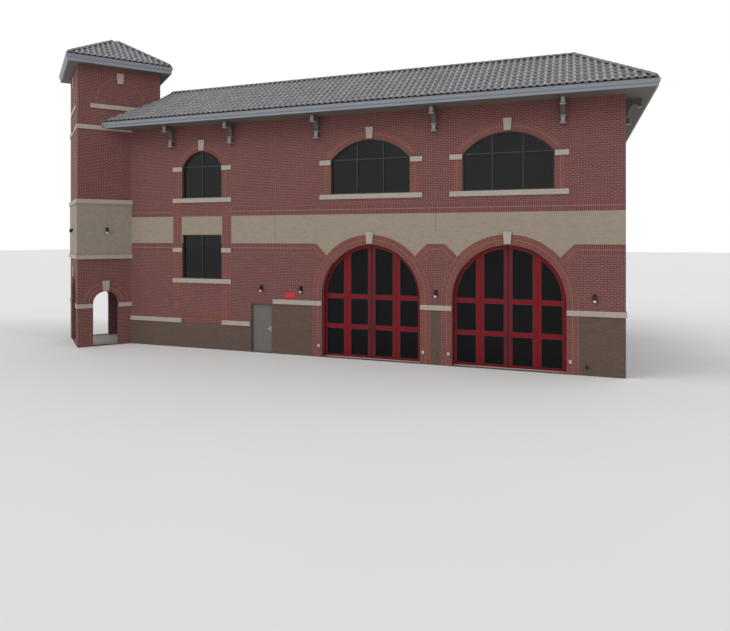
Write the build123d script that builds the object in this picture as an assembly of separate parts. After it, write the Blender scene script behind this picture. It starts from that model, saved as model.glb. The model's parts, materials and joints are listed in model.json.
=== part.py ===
from build123d import *
from collections import namedtuple
import math
import os

# Fire station building of brick, stucco and stone, in millimetres with +Z up.
# The origin is on the lowest ground, under the middle of the front range.
# Heights are above the front apron, and base() lifts them above the lowest ground.
# Walls are seen from outside: along runs to the right, up is height, out is towards the viewer.

WALL = 350
DOOR_WIDTH = 1030
DOOR_HEIGHT = 2130

# Front wall, a chain of piers and openings from its east end to the street corner
EAST_PIER = 2000
BAY_WIDTH = 4270
BAY_PIER = 1260
DOOR_PIER = 2350
HALL_WINDOW_PIER = 1510
HALL_WINDOW_WIDTH = 2100
CORNER_PIER = 5300
BAY_EAST = EAST_PIER + BAY_WIDTH / 2
BAY_WEST = BAY_EAST + BAY_WIDTH + BAY_PIER
MAN_DOOR = BAY_WEST + BAY_WIDTH / 2 + DOOR_PIER + DOOR_WIDTH / 2
HALL_WINDOW = MAN_DOOR + DOOR_WIDTH / 2 + HALL_WINDOW_PIER + HALL_WINDOW_WIDTH / 2
FRONT_WIDTH = HALL_WINDOW + HALL_WINDOW_WIDTH / 2 + CORNER_PIER

# Street wall, which leans away from the front, and its row of high windows from the corner
STREET_SPLAY = 10
NARROW_WINDOW = 1130
STREET_ARCH_START = 10170
STREET_ARCH_PITCH = 2255
STREET_ARCH_COUNT = 4
STREET_END_PIER = 1082.3
STREET_ARCH_RUN = (STREET_ARCH_COUNT - 1) * STREET_ARCH_PITCH + NARROW_WINDOW / 2
STREET_LENGTH = STREET_ARCH_START + STREET_ARCH_RUN + STREET_END_PIER
WING_DEPTH = STREET_LENGTH * math.cos(math.radians(STREET_SPLAY))
BLOCK_STEP = 3850
BLOCK_DEPTH = WING_DEPTH + BLOCK_STEP

# Rear wall, a chain from its east end: the annex, a window and two doors
ANNEX_WIDTH = 7100
REAR_WINDOW_PIER = 2630
REAR_WINDOW_WIDTH = 1280
REAR_DOOR_PIER = 1115
REAR_DOOR_GAP = 2810
REAR_END_PIER = 545
REAR_WINDOW = ANNEX_WIDTH + REAR_WINDOW_PIER + REAR_WINDOW_WIDTH / 2
REAR_DOOR_EAST = REAR_WINDOW + REAR_WINDOW_WIDTH / 2 + REAR_DOOR_PIER + DOOR_WIDTH / 2
REAR_DOOR_WEST = REAR_DOOR_EAST + DOOR_WIDTH + REAR_DOOR_GAP
BLOCK_WIDTH = REAR_DOOR_WEST + DOOR_WIDTH / 2 + REAR_END_PIER

# Heights of the main range
APRON_RISE = 2000
SLAB = 200
RAFT = 150
UPPER_FLOOR = 5600
SILL_RISE = 1240
JAMB = 1440
EAVE_RISE = 1870
SILL_LEVEL = UPPER_FLOOR + SILL_RISE
SPRING_LEVEL = SILL_LEVEL + JAMB
SOFFIT = SPRING_LEVEL + EAVE_RISE
SOFFIT_BOARD = 150
GUTTER_HEIGHT = 250
BAND_BOTTOM = 4790
LINK_HEIGHT = 2900
RETAINING = 300

# Main roof, a pitched ring round a flat deck
OVERHANG = 1000
TILE_EDGE = SOFFIT + GUTTER_HEIGHT
PITCH = 8 / 12
RING_DEPTH = 1740
ROOF_THICKNESS = 150
UPSTAND = 200
GUTTER = 120

# Tower, turned to face the corner of the two streets
TOWER_SIDE = 3660
TOWER_STEP = 1058
TOWER_WALL = 350
TOWER_RISE = 2850
TOWER_TOP = SOFFIT + TOWER_RISE
TOWER_OVERHANG = 500
TOWER_GUTTER = 300
TOWER_TILE_EDGE = TOWER_TOP + TOWER_GUTTER
TOWER_CEILING = 3750
PORCH_PIER = 660
PORCH_ARCH = 1100
PORCH_WIDE_ARCH = 2340
PORCH_SPRING = 1980
STUCCO_BOTTOM = 4050
STUCCO_TOP = 6820
STUCCO_BASE_TRIM = 180
STUCCO_CAP = 200
STUCCO_PROUD = 30
TOWER_BAND_RISE = 110
TOWER_BAND_TOP = SOFFIT + TOWER_BAND_RISE
BLIND_SILL_DROP = 1940
BLIND_SILL = TOWER_TOP - BLIND_SILL_DROP
BLIND_WIDTH = 2580
BLIND_KEY_DROP = 700
BLIND_KEY = TOWER_TOP - BLIND_KEY_DROP
BLIND_KEY_HEIGHT = 490
ENTRANCE_WIDTH = 1300

# Bay doors in round arches
BAY_SPRING = 2620
BAY_RECESS = 280
LEAF = 60
LEAF_GAP = 6
LEAVES = 4
STILE = 150
KICK_RAIL = 120
LOW_RAIL = 1310
HIGH_RAIL = 2570
RAIL = 180

# Windows
GLASS = 24
GLASS_RECESS = 140
WIDE_WINDOW = 3440
WIDE_RISE = 800
HALL_RISE = 700
HALL_LOW_SILL = 3170
HALL_LOW_HEAD = 5170
STREET_SINGLE = 3450
STREET_LOW = 3500
STREET_LOW_COUNT = 3
STREET_LOW_PITCH = 1460
STREET_LOW_WIDTH = 1000
STREET_LOW_SILL = 100
STREET_LOW_HEAD = 2600
WING_ROW_SHIFT = 57
WING_ARCH_PITCH = 2290
WING_ARCH_COUNT = 4
REAR_LOW_SILL = 400
REAR_LOW_HEAD = 2560
REAR_LOW_WIDTH = 1070
EAST_WINDOWS = (5200, 11000, 16800)

# Hinged doors
DOOR_RECESS = 100
DOOR_FRAME = 50
DOOR_FRAME_DEPTH = 110
DOOR_LEAF = 45
DOOR_GAP = 8
HINGE_RADIUS = 9
HINGE_REACH = 12
HINGE_HEIGHT = 50
HINGE_PLATE = 30
HINGE_PLAY = 0.3
HINGE_LEVELS = (200, 1000, 1800)

# Rear annex behind the east end
ANNEX_DEPTH = 3500
ANNEX_TOP = 7130
ANNEX_CAP = 250
ANNEX_DECK = 6600

# One-storey room in the corner behind the wing, its west face set in from the wing's corner
ROOM_INSET = 1857
ROOM_NORTH_WINDOW = 1500
ROOM_WEST_WINDOW = 1070
ROOM_WEST_WIDTH = 800
ROOM_TOP = 6300
ROOM_CAP = 480
ROOM_DECK = 5600
CAP_PROUD = 40
PARAPET_WALL = 300

# Bay with a hipped roof along the street
BUMP_START = 7350
BUMP_OUT = 1650
BUMP_WALL = 300
BUMP_SOFFIT = 3050
BUMP_GUTTER = 250
BUMP_TILE_EDGE = BUMP_SOFFIT + BUMP_GUTTER
BUMP_RISE = 2000
BUMP_RIDGE = BUMP_TILE_EDGE + BUMP_RISE
BUMP_OVERHANG = 600
BUMP_ROOF_THICKNESS = 150
BUMP_BOARD = 100
BUMP_LOW_SILL = 500
BUMP_HEAD = 2600
BUMP_NORTH_SILL = 1330
BUMP_NARROW = 700
BUMP_NARROW_WIDTH = 600
BUMP_WIDE = 2300
BUMP_WIDE_WIDTH = 1500
BUMP_FIRST = 1900
BUMP_FIRST_WIDTH = 1900
BUMP_ROW = 5000
BUMP_ROW_PITCH = 2600
BUMP_ROW_WIDTH = 1000
BUMP_ROW_COUNT = 3
LINK_MARGIN = 850

# Stone dressings
STONE = 200
STONE_PROUD = 40
SILL_REACH = 500
SHORT_REACH = 300
KEYSTONE_PROUD = 60
KEYSTONE_WIDTH = 320
KEYSTONE_HEIGHT = 470
KEYSTONE_TAPER = 0.8
BAND_LOW = 1330
BAND_HIGH = 2360
HALL_PIER = 1080
HALL_IMPOST = 4570
LOW_IMPOST = 1780
STREET_LOW_IMPOST = 1770
KEYSTONE_LIFT = 30

# Small fittings
BRACKET_WIDTH = 180
BRACKET_DROP = 900
BRACKET_REACH = 620
BRACKET_POST = 130
BRACKET_ARM = 170
BRACKET_BLOCK = 290
BRACKET_TIP = 120
BRACKET_FOOT = 260
BRACKET_FOOT_DEPTH = 200
BRACKET_BULGE = (205, 350)
LAMP_LEVEL = 2720
LAMP_SIZE = (130, 260, 150)
LAMP_SIDE = 960
PLATE_SIDE = 1390
PLATE_LEVEL = 2430
PLATE_SIZE = (470, 250, 20)
HALL_BRACKET = 1575
BAY_BRACKETS = (2315, -2715)
END_BRACKET = 2005
EAST_BRACKETS = (1000, 8100, 13900, 21100)
REAR_BRACKETS = (1400, 9200, 11600, 15800)
WING_BRACKETS = (2650, 7230, 9300)
STREET_BRACKETS = (500, 5000, 9700, 14000)
PIPE = 100
PIPE_STANDOFF = 60
ANNEX_PIPE = 5700
REAR_PIPE = 14620
REAR_PIPE_TOP = 2000
TWIN_LIGHT = 300
TWIN_LIGHT_LEVEL = 4100
TWIN_LIGHT_SIZE = (390, 260, 150)

THROUGH = 1000

Opening = namedtuple("Opening", "centre width sill spring rise")


# Plan geometry
def unit(degrees):
    """A level direction."""
    turn = math.radians(degrees)
    return Vector(math.cos(turn), math.sin(turn), 0)


def left_of(direction):
    """The level direction a quarter turn to the left."""
    return Vector(-direction.Y, direction.X, 0)


def meet(point, along, other, other_along):
    """Where the line through point meets the line through other."""
    gap = other - point
    cross = along.X * other_along.Y - along.Y * other_along.X
    return point + along * ((gap.X * other_along.Y - gap.Y * other_along.X) / cross)


def inset(corners, distance):
    """An outline moved inwards, or outwards where the distance is negative."""
    moved = []
    for index, here in enumerate(corners):
        before = corners[index - 1]
        after = corners[(index + 1) % len(corners)]
        arriving = (here - before).normalized()
        leaving = (after - here).normalized()
        first = before + left_of(arriving) * distance
        second = here + left_of(leaving) * distance
        moved.append(meet(first, arriving, second, leaving))
    return moved


def base(height):
    """A height above the apron, turned into one above the lowest ground."""
    return APRON_RISE + height


def at_height(corner, height):
    return Vector(corner.X, corner.Y, height)


def prism(corners, bottom, top):
    """An upright solid over a plan outline."""
    outline = Face(Wire.make_polygon([at_height(c, bottom) for c in corners]))
    return extrude(outline, amount=top - bottom, dir=(0, 0, 1))


def slab_under(points, thickness):
    """A sloping slab under a flat outline in space."""
    outline = Face(Wire.make_polygon(points))
    return extrude(outline, amount=thickness, dir=(0, 0, -1))


def side_strip(outer, inner, side, bottom, top):
    """The strip between two outlines along one side, mitred at its ends."""
    after = (side + 1) % len(outer)
    return prism([outer[side], outer[after], inner[after], inner[side]], bottom, top)


def joined(pieces):
    """Touching pieces fused into one."""
    whole = pieces[0]
    for piece in pieces[1:]:
        whole = whole + piece
    return whole


def group(pieces):
    """Pieces that do not touch, kept as separate solids of one node."""
    solids = []
    for piece in pieces:
        solids.extend(piece.solids())
    return Compound(children=solids)


# The outlines that every piece is placed from
EAST, REAR, RETURN, WING, STREET, FRONT = range(6)
STREET_UP = unit(90 + STREET_SPLAY)
FRONT_CORNER = Vector(-FRONT_WIDTH, 0, 0)
WING_CORNER = FRONT_CORNER + STREET_UP * STREET_LENGTH
BLOCK_CORNER = Vector(-BLOCK_WIDTH, BLOCK_DEPTH, 0)
FOOTPRINT = [
    Vector(0, 0, 0),
    Vector(0, BLOCK_DEPTH, 0),
    BLOCK_CORNER,
    Vector(-BLOCK_WIDTH, WING_DEPTH, 0),
    WING_CORNER,
    FRONT_CORNER,
]
INNER = inset(FOOTPRINT, WALL)

TOWER_ALONG = unit((90 + STREET_SPLAY) / 2)
TOWER_BACK = left_of(TOWER_ALONG)
TOWER_CENTRE = FRONT_CORNER + TOWER_ALONG * TOWER_STEP
TOWER = [
    TOWER_CENTRE + (TOWER_ALONG * x + TOWER_BACK * y) * (TOWER_SIDE / 2)
    for x, y in ((-1, -1), (1, -1), (1, 1), (-1, 1))
]
TOWER_INNER = inset(TOWER, TOWER_WALL)
TOWER_SE, TOWER_NE, TOWER_NW, TOWER_SW = range(4)

ROOM_WEST_FACE = WING_CORNER.X + ROOM_INSET
ROOM_WIDTH = BLOCK_CORNER.X - ROOM_WEST_FACE
ROOM = [
    BLOCK_CORNER,
    Vector(ROOM_WEST_FACE, BLOCK_DEPTH, 0),
    Vector(ROOM_WEST_FACE, WING_DEPTH, 0),
    FOOTPRINT[3],
]
ROOM_INNER = [
    ROOM[0] - Vector(0, PARAPET_WALL, 0),
    ROOM[1] + Vector(PARAPET_WALL, -PARAPET_WALL, 0),
    ROOM[2] + Vector(PARAPET_WALL, 0, 0),
    ROOM[3],
]
ANNEX = [
    Vector(0, BLOCK_DEPTH, 0),
    Vector(0, BLOCK_DEPTH + ANNEX_DEPTH, 0),
    Vector(-ANNEX_WIDTH, BLOCK_DEPTH + ANNEX_DEPTH, 0),
    Vector(-ANNEX_WIDTH, BLOCK_DEPTH, 0),
]
ANNEX_INNER = [
    ANNEX[0] - Vector(PARAPET_WALL, 0, 0),
    ANNEX[1] - Vector(PARAPET_WALL, PARAPET_WALL, 0),
    ANNEX[2] + Vector(PARAPET_WALL, -PARAPET_WALL, 0),
    ANNEX[3] + Vector(PARAPET_WALL, 0, 0),
]


def bump_outline(reach):
    """Corners of a line round the street bay: room face, north corner, south corner, street wall."""
    outwards = left_of(STREET_UP)
    line_point = FRONT_CORNER + outwards * (BUMP_OUT + reach)
    north = Vector(0, WING_DEPTH + BUMP_OUT + reach, 0)
    west = Vector(-1, 0, 0)
    start = FRONT_CORNER + STREET_UP * (BUMP_START - reach)
    return [
        Vector(ROOM[2].X, north.Y, 0),
        meet(north, west, line_point, STREET_UP),
        start + outwards * (BUMP_OUT + reach),
        start,
    ]


BUMP = bump_outline(0)
BUMP_INNER = bump_outline(-BUMP_WALL)
BUMP_EAVE = bump_outline(BUMP_OVERHANG)


def tower_block():
    """The space of the tower and of the corner outside it, cut from what meets it."""
    beyond = TOWER_ALONG * -TOWER_SIDE
    corners = [TOWER[0] + beyond, TOWER[1], TOWER[2], TOWER[3] + beyond]
    return prism(corners, -THROUGH, base(TOWER_TOP) + TOWER_SIDE)


# Walls and their openings
def wall_plane(corners, side):
    """The outer face of a side of an outline."""
    start = corners[side]
    along = (corners[(side + 1) % len(corners)] - start).normalized()
    return Plane(origin=start, x_dir=along, z_dir=Vector(along.Y, -along.X, 0))


def side_length(corners, side):
    return (corners[(side + 1) % len(corners)] - corners[side]).length


def opening_face(opening, clearance=0):
    """The outline of an opening: flat head, or an arch through three points."""
    half = opening.width / 2 - clearance
    left = opening.centre - half
    right = opening.centre + half
    bottom = base(opening.sill)
    top = base(opening.spring)
    if opening.rise == 0:
        corners = ((left, bottom), (right, bottom), (right, top), (left, top))
        return make_face(Polyline(*corners, close=True))
    crown = (opening.centre, top + opening.rise - clearance)
    lines = Polyline((left, top), (left, bottom), (right, bottom), (right, top))
    return make_face(lines + ThreePointArc((right, top), crown, (left, top)))


def cut_through(wall, plane, openings):
    for opening in openings:
        wall = wall - extrude(plane * opening_face(opening), amount=THROUGH, both=True)
    return wall


def slab_out(plane, face, inner, thickness):
    """A plate over a face of the wall, from inner outwards, inner being its distance from the wall face."""
    placed = Plane(plane.origin + plane.z_dir * inner, x_dir=plane.x_dir, z_dir=plane.z_dir)
    return extrude(placed * face, amount=thickness, dir=plane.z_dir)


def wall_box(plane, along, bottom, size, inner=0):
    """A block on a wall: size is along, up and out, from its lower left corner."""
    width, height, depth = size
    face = Pos(along + width / 2, bottom + height / 2) * Rectangle(width, height)
    return slab_out(plane, face, inner, depth)


def glass_panes(plane, openings):
    return [slab_out(plane, opening_face(o), -GLASS_RECESS - GLASS, GLASS) for o in openings]


def arched(centre, width=NARROW_WINDOW, rise=None):
    return Opening(centre, width, SILL_LEVEL, SPRING_LEVEL, width / 2 if rise is None else rise)


def flat(centre, width, sill, head):
    return Opening(centre, width, sill, head, 0)


def door_opening(centre, sill):
    return flat(centre, DOOR_WIDTH, sill, sill + DOOR_HEIGHT)


def from_east(distance):
    return FRONT_WIDTH - distance


def from_corner(distance):
    """A place on the street wall, measured from the front corner."""
    return STREET_LENGTH - distance


YARD_SILL = RAFT - APRON_RISE
BAY_OPENINGS = [
    Opening(from_east(x), BAY_WIDTH, 0, BAY_SPRING, BAY_WIDTH / 2) for x in (BAY_WEST, BAY_EAST)
]
MAN_DOOR_OPENING = door_opening(from_east(MAN_DOOR), 0)
REAR_DOOR_OPENINGS = [door_opening(x, YARD_SILL) for x in (REAR_DOOR_EAST, REAR_DOOR_WEST)]
FRONT_WINDOWS = [arched(o.centre, WIDE_WINDOW, WIDE_RISE) for o in BAY_OPENINGS] + [
    arched(from_east(HALL_WINDOW), HALL_WINDOW_WIDTH, HALL_RISE),
    flat(from_east(HALL_WINDOW), HALL_WINDOW_WIDTH, HALL_LOW_SILL, HALL_LOW_HEAD),
]
STREET_HIGH = [arched(from_corner(STREET_SINGLE))] + [
    arched(from_corner(STREET_ARCH_START + n * STREET_ARCH_PITCH)) for n in range(STREET_ARCH_COUNT)
]
STREET_LOWER = [
    flat(from_corner(centre), STREET_LOW_WIDTH, STREET_LOW_SILL, STREET_LOW_HEAD)
    for centre in (STREET_LOW + n * STREET_LOW_PITCH for n in range(STREET_LOW_COUNT))
]
WING_FIRST = (
    (BLOCK_CORNER.X - WING_CORNER.X - (WING_ARCH_COUNT - 1) * WING_ARCH_PITCH) / 2 + WING_ROW_SHIFT
)
WING_WINDOWS = [arched(WING_FIRST + n * WING_ARCH_PITCH) for n in range(WING_ARCH_COUNT)]
REAR_HIGH = [arched(REAR_WINDOW, REAR_WINDOW_WIDTH)]
REAR_LOWER = [flat(REAR_WINDOW, REAR_LOW_WIDTH, REAR_LOW_SILL, REAR_LOW_HEAD)]
EAST_HIGH = [arched(x, REAR_WINDOW_WIDTH) for x in EAST_WINDOWS]
ROOM_NORTH = [
    flat(ROOM_WIDTH - ROOM_NORTH_WINDOW, REAR_LOW_WIDTH, REAR_LOW_SILL, REAR_LOW_HEAD)
]
ROOM_WEST = [flat(ROOM_WEST_WINDOW, ROOM_WEST_WIDTH, BUMP_NORTH_SILL, REAR_LOW_HEAD)]
BUMP_NORTH = [
    flat(BUMP_NARROW, BUMP_NARROW_WIDTH, BUMP_NORTH_SILL, BUMP_HEAD),
    flat(BUMP_WIDE, BUMP_WIDE_WIDTH, BUMP_NORTH_SILL, BUMP_HEAD),
]
BUMP_WEST = [flat(BUMP_FIRST, BUMP_FIRST_WIDTH, BUMP_LOW_SILL, BUMP_HEAD)] + [
    flat(BUMP_ROW + n * BUMP_ROW_PITCH, BUMP_ROW_WIDTH, BUMP_LOW_SILL, BUMP_HEAD)
    for n in range(BUMP_ROW_COUNT)
]
BUMP_LINK_WIDTH = STREET_LENGTH - BUMP_START - 2 * LINK_MARGIN
BUMP_LINK = flat(LINK_MARGIN + BUMP_LINK_WIDTH / 2, BUMP_LINK_WIDTH, 0, LINK_HEIGHT)
ROOM_LINK = flat(ROOM_WIDTH / 2, ROOM_WIDTH - 2 * LINK_MARGIN, 0, LINK_HEIGHT)
ANNEX_LINK = flat(
    ANNEX_WIDTH / 2, ANNEX_WIDTH - 2 * LINK_MARGIN, YARD_SILL, YARD_SILL + LINK_HEIGHT
)
TOWER_SE_ARCH = Opening(PORCH_PIER + PORCH_ARCH / 2, PORCH_ARCH, 0, PORCH_SPRING, PORCH_ARCH / 2)
TOWER_NW_ARCH = TOWER_SE_ARCH._replace(centre=TOWER_SIDE - TOWER_SE_ARCH.centre)
TOWER_SW_ARCH = Opening(TOWER_SIDE / 2, PORCH_WIDE_ARCH, 0, PORCH_SPRING, PORCH_WIDE_ARCH / 2)
PORCH_ARCHES = {TOWER_SE: TOWER_SE_ARCH, TOWER_NW: TOWER_NW_ARCH, TOWER_SW: TOWER_SW_ARCH}
ENTRANCE = flat(TOWER_SIDE / 2, ENTRANCE_WIDTH, 0, DOOR_HEIGHT)


def main_wall(side, openings, bottom=0):
    """One wall of the main range, up to the soffit, clear of the tower."""
    wall = side_strip(FOOTPRINT, INNER, side, bottom, base(SOFFIT))
    return cut_through(wall - tower_block(), wall_plane(FOOTPRINT, side), openings)


def between(wall, plane, start, end, bottom, top):
    """The part of a wall inside a stretch of its length and height."""
    face = Pos((start + end) / 2, (bottom + top) / 2) * Rectangle(end - start, top - bottom)
    return wall & extrude(plane * face, amount=THROUGH, both=True)


def split_at_doors(wall, plane, length, doors):
    """The wall's stretches beside its doorways, and the pieces over them."""
    beside = []
    over = []
    start = -THROUGH
    top = base(SOFFIT)
    for door in doors:
        left = door.centre - door.width / 2
        right = door.centre + door.width / 2
        beside.append(between(wall, plane, start, left, -THROUGH, top))
        over.append(between(wall, plane, left, right, base(door.spring), top))
        start = right
    beside.append(between(wall, plane, start, length + THROUGH, -THROUGH, top))
    return beside, over


def front_walls():
    plane = wall_plane(FOOTPRINT, FRONT)
    wall = main_wall(FRONT, BAY_OPENINGS + FRONT_WINDOWS, base(0))
    beside, over = split_at_doors(wall, plane, FRONT_WIDTH, [MAN_DOOR_OPENING])
    footing = side_strip(FOOTPRINT, INNER, FRONT, 0, base(0)) - tower_block()
    return {
        "front_wall_hall": beside[0],
        "front_wall_bays": beside[1],
        "front_footing": footing,
    }, over


def walls_with_doors():
    """The front and rear walls, with what is over their doorways in one node."""
    front, over_front = front_walls()
    rear, over_rear = rear_walls()
    return {**front, **rear, "walls_over_doors": group(over_front + over_rear)}


def rear_walls():
    plane = wall_plane(FOOTPRINT, REAR)
    wall = main_wall(REAR, REAR_HIGH + REAR_LOWER + [ANNEX_LINK])
    beside, over = split_at_doors(wall, plane, BLOCK_WIDTH, REAR_DOOR_OPENINGS)
    return {
        "rear_wall_east": beside[0],
        "rear_wall_beside_doors": group(beside[1:]),
    }, over


def tower_walls():
    openings = {
        TOWER_SE: [TOWER_SE_ARCH],
        TOWER_NE: [ENTRANCE],
        TOWER_NW: [TOWER_NW_ARCH],
        TOWER_SW: [TOWER_SW_ARCH],
    }
    names = {
        TOWER_SE: "tower_wall_front",
        TOWER_NE: "tower_wall_inner",
        TOWER_NW: "tower_wall_street",
        TOWER_SW: "tower_wall_corner",
    }
    walls = {}
    for side, name in names.items():
        wall = side_strip(TOWER, TOWER_INNER, side, 0, base(TOWER_TOP))
        walls[name] = cut_through(wall, wall_plane(TOWER, side), openings[side])
    return walls


# Floors
def floors():
    floor_end = INNER[3].Y
    south = INNER
    ground = [south[0], Vector(south[0].X, floor_end, 0), south[4], south[5]]
    retaining = [
        Vector(south[0].X, floor_end - RETAINING, 0),
        Vector(south[0].X, floor_end, 0),
        Vector(south[3].X, floor_end, 0),
        Vector(south[3].X, floor_end - RETAINING, 0),
    ]
    room_floor = prism(ROOM_INNER, base(-SLAB), base(0))
    bump_floor = prism(BUMP_INNER + [WING_CORNER, ROOM[2]], base(-SLAB), base(0))
    annex_floor = prism(ANNEX_INNER, 0, RAFT)
    porch_floor = prism(TOWER_INNER, base(-SLAB), base(0))
    porch_ceiling = prism(TOWER_INNER, base(TOWER_CEILING), base(TOWER_CEILING) + SLAB)
    block = [south[0], south[1], south[2], Vector(south[2].X, south[0].Y, 0)]
    wing = [Vector(south[2].X, south[0].Y, 0), south[3], south[4], south[5]]
    upper = base(UPPER_FLOOR)
    return {
        "ground_floor": prism(ground, base(-SLAB), base(0)) - tower_block(),
        "floor_edge_wall": prism(retaining, RAFT, base(-SLAB)),
        "raft": prism(INNER, 0, RAFT) - tower_block(),
        "outer_floors": group([room_floor, bump_floor, annex_floor, porch_floor, porch_ceiling]),
        "upper_floor_block": prism(block, upper - SLAB, upper) - tower_block(),
        "upper_floor_wing": prism(wing, upper - SLAB, upper) - tower_block(),
    }


# Main roof
def crest_line():
    """The roof's crest: parallel to the walls, and cut across behind the tower."""
    crest = inset(FOOTPRINT, RING_DEPTH)
    tower_corner = TOWER[1]
    behind = tower_corner + TOWER_ALONG * (RING_DEPTH - tower_corner.Y)
    street_side = meet(behind, TOWER_BACK, crest[4], crest[5] - crest[4])
    front_side = meet(behind, TOWER_BACK, crest[5], crest[0] - crest[5])
    return crest[:5] + [street_side, front_side]


def main_roof():
    """Pitched slabs, one node a side, the upstand and the deck inside them, and their gutters."""
    crest = crest_line()
    inner = inset(crest, UPSTAND)
    eave = inset(FOOTPRINT, -OVERHANG)
    board = inset(FOOTPRINT, GUTTER - OVERHANG)
    low = base(TILE_EDGE)
    high = low + PITCH * (OVERHANG + RING_DEPTH)
    deck_top = base(SOFFIT) + SOFFIT_BOARD
    saddle = high - PITCH * (RING_DEPTH - TOWER[1].Y)
    block = tower_block()
    names = ["roof_east", "roof_rear", "roof_return", "roof_wing", "roof_street", "roof_front"]
    corner_points = {
        STREET: [at_height(crest[5], high), at_height(TOWER[2], saddle)],
        FRONT: [at_height(TOWER[1], saddle), at_height(crest[6], high)],
    }
    roofs = {}
    gutters = []
    for side, name in enumerate(names):
        after = (side + 1) % len(names)
        points = [at_height(eave[side], low), at_height(eave[after], low)]
        if side == FRONT:
            points += [at_height(crest[0], high)] + corner_points[FRONT][::-1]
        elif side == STREET:
            points += corner_points[STREET][::-1] + [at_height(crest[4], high)]
        else:
            points += [at_height(crest[after], high), at_height(crest[side], high)]
        gutter = side_strip(eave, board, side, base(SOFFIT), low)
        roofs[name] = slab_under(points, ROOF_THICKNESS) - gutter - block
        gutters.append(gutter - block)
    saddle_points = [
        at_height(crest[5], high),
        at_height(crest[6], high),
        at_height(TOWER[1], saddle),
        at_height(TOWER[2], saddle),
    ]
    roofs["roof_saddle"] = slab_under(saddle_points, ROOF_THICKNESS) - block
    sides = range(len(crest))
    upstands = [side_strip(crest, inner, side, deck_top, high) - block for side in sides]
    roofs["roof_upstand"] = group(upstands)
    deck = prism(board, base(SOFFIT), deck_top) - block
    block_corners = [board[0], board[1], board[2], Vector(board[2].X, board[0].Y, 0)]
    over_block = prism(block_corners, 0, deck_top + THROUGH)
    roofs["roof_deck_block"] = deck & over_block
    roofs["roof_deck_wing"] = deck - over_block
    return roofs, gutters


def tower_roof():
    eave = inset(TOWER, -TOWER_OVERHANG)
    board = inset(TOWER, GUTTER - TOWER_OVERHANG)
    low = base(TOWER_TILE_EDGE)
    apex = at_height(TOWER_CENTRE, low + PITCH * (TOWER_SIDE / 2 + TOWER_OVERHANG))
    slopes = []
    for side in range(4):
        corners = [at_height(eave[side], low), at_height(eave[(side + 1) % 4], low), apex]
        slopes.append(slab_under(corners, ROOF_THICKNESS))
    gutters = [side_strip(eave, board, side, base(TOWER_TOP), low) for side in range(4)]
    return joined(slopes) - joined(gutters), gutters


# Parapet walls, caps and flat roofs of the rear annex and the corner room
def cap_strip(corners, side, top, height):
    """Metal capping on a parapet wall, a little proud outside."""
    outer = inset(corners, -CAP_PROUD)
    inner = inset(corners, PARAPET_WALL)
    return side_strip(outer, inner, side, base(top - height), base(top))


def parapet_parts():
    main_space = prism(FOOTPRINT, -THROUGH, base(SOFFIT))
    annex_top = base(ANNEX_TOP - ANNEX_CAP)
    annex_sides = [side_strip(ANNEX, ANNEX_INNER, n, 0, annex_top) for n in range(3)]
    room_sides = []
    for side, openings in enumerate((ROOM_NORTH, ROOM_WEST)):
        wall = side_strip(ROOM, ROOM_INNER, side, 0, base(ROOM_TOP - ROOM_CAP))
        room_sides.append(cut_through(wall, wall_plane(ROOM, side), openings))
    annex_cap = joined([cap_strip(ANNEX, n, ANNEX_TOP, ANNEX_CAP) for n in range(3)])
    room_cap = joined([cap_strip(ROOM, n, ROOM_TOP, ROOM_CAP) for n in range(2)])
    annex_roof = prism(ANNEX_INNER, base(ANNEX_DECK) - SLAB, base(ANNEX_DECK))
    room_roof = prism(ROOM_INNER, base(ROOM_DECK) - SLAB, base(ROOM_DECK))
    return {
        "annex_walls": joined(annex_sides),
        "room_walls": joined(room_sides),
        "parapet_caps": group([annex_cap - main_space, room_cap - main_space]),
        "flat_roofs": group([annex_roof, room_roof]),
    }


# Street bay with its hipped roof
def bump_parts():
    walls = []
    for side, openings in enumerate((BUMP_NORTH, BUMP_WEST, [])):
        wall = side_strip(BUMP, BUMP_INNER, side, 0, base(BUMP_SOFFIT))
        walls.append(cut_through(wall, wall_plane(BUMP, side), openings))
    board = bump_outline(BUMP_OVERHANG - GUTTER)
    soffit_top = base(BUMP_SOFFIT) + BUMP_BOARD
    soffit = prism(board + [WING_CORNER, ROOM[2]], base(BUMP_SOFFIT), soffit_top)
    low = base(BUMP_TILE_EDGE)
    ridge = base(BUMP_RIDGE)
    eave = [at_height(corner, low) for corner in BUMP_EAVE]
    peak = at_height(BUMP_EAVE[3] + STREET_UP * (BUMP_OUT + BUMP_OVERHANG), ridge)
    north_end = at_height(ROOM[2], ridge)
    corner = at_height(WING_CORNER, ridge)
    slopes = [
        [eave[0], eave[1], corner, north_end],
        [eave[1], eave[2], peak, corner],
        [eave[2], eave[3], peak],
    ]
    slabs = joined([slab_under(points, BUMP_ROOF_THICKNESS) for points in slopes])
    gutters = [side_strip(BUMP_EAVE, board, side, base(BUMP_SOFFIT), low) for side in range(3)]
    tower_eave = inset(TOWER, GUTTER - TOWER_OVERHANG)
    tower_board = prism(tower_eave, base(TOWER_TOP), base(TOWER_TOP) + SOFFIT_BOARD)
    return {
        "bump_walls": joined(walls),
        "bump_roof": slabs - joined(gutters),
        "soffits": group([soffit, tower_board]),
    }, gutters


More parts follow.
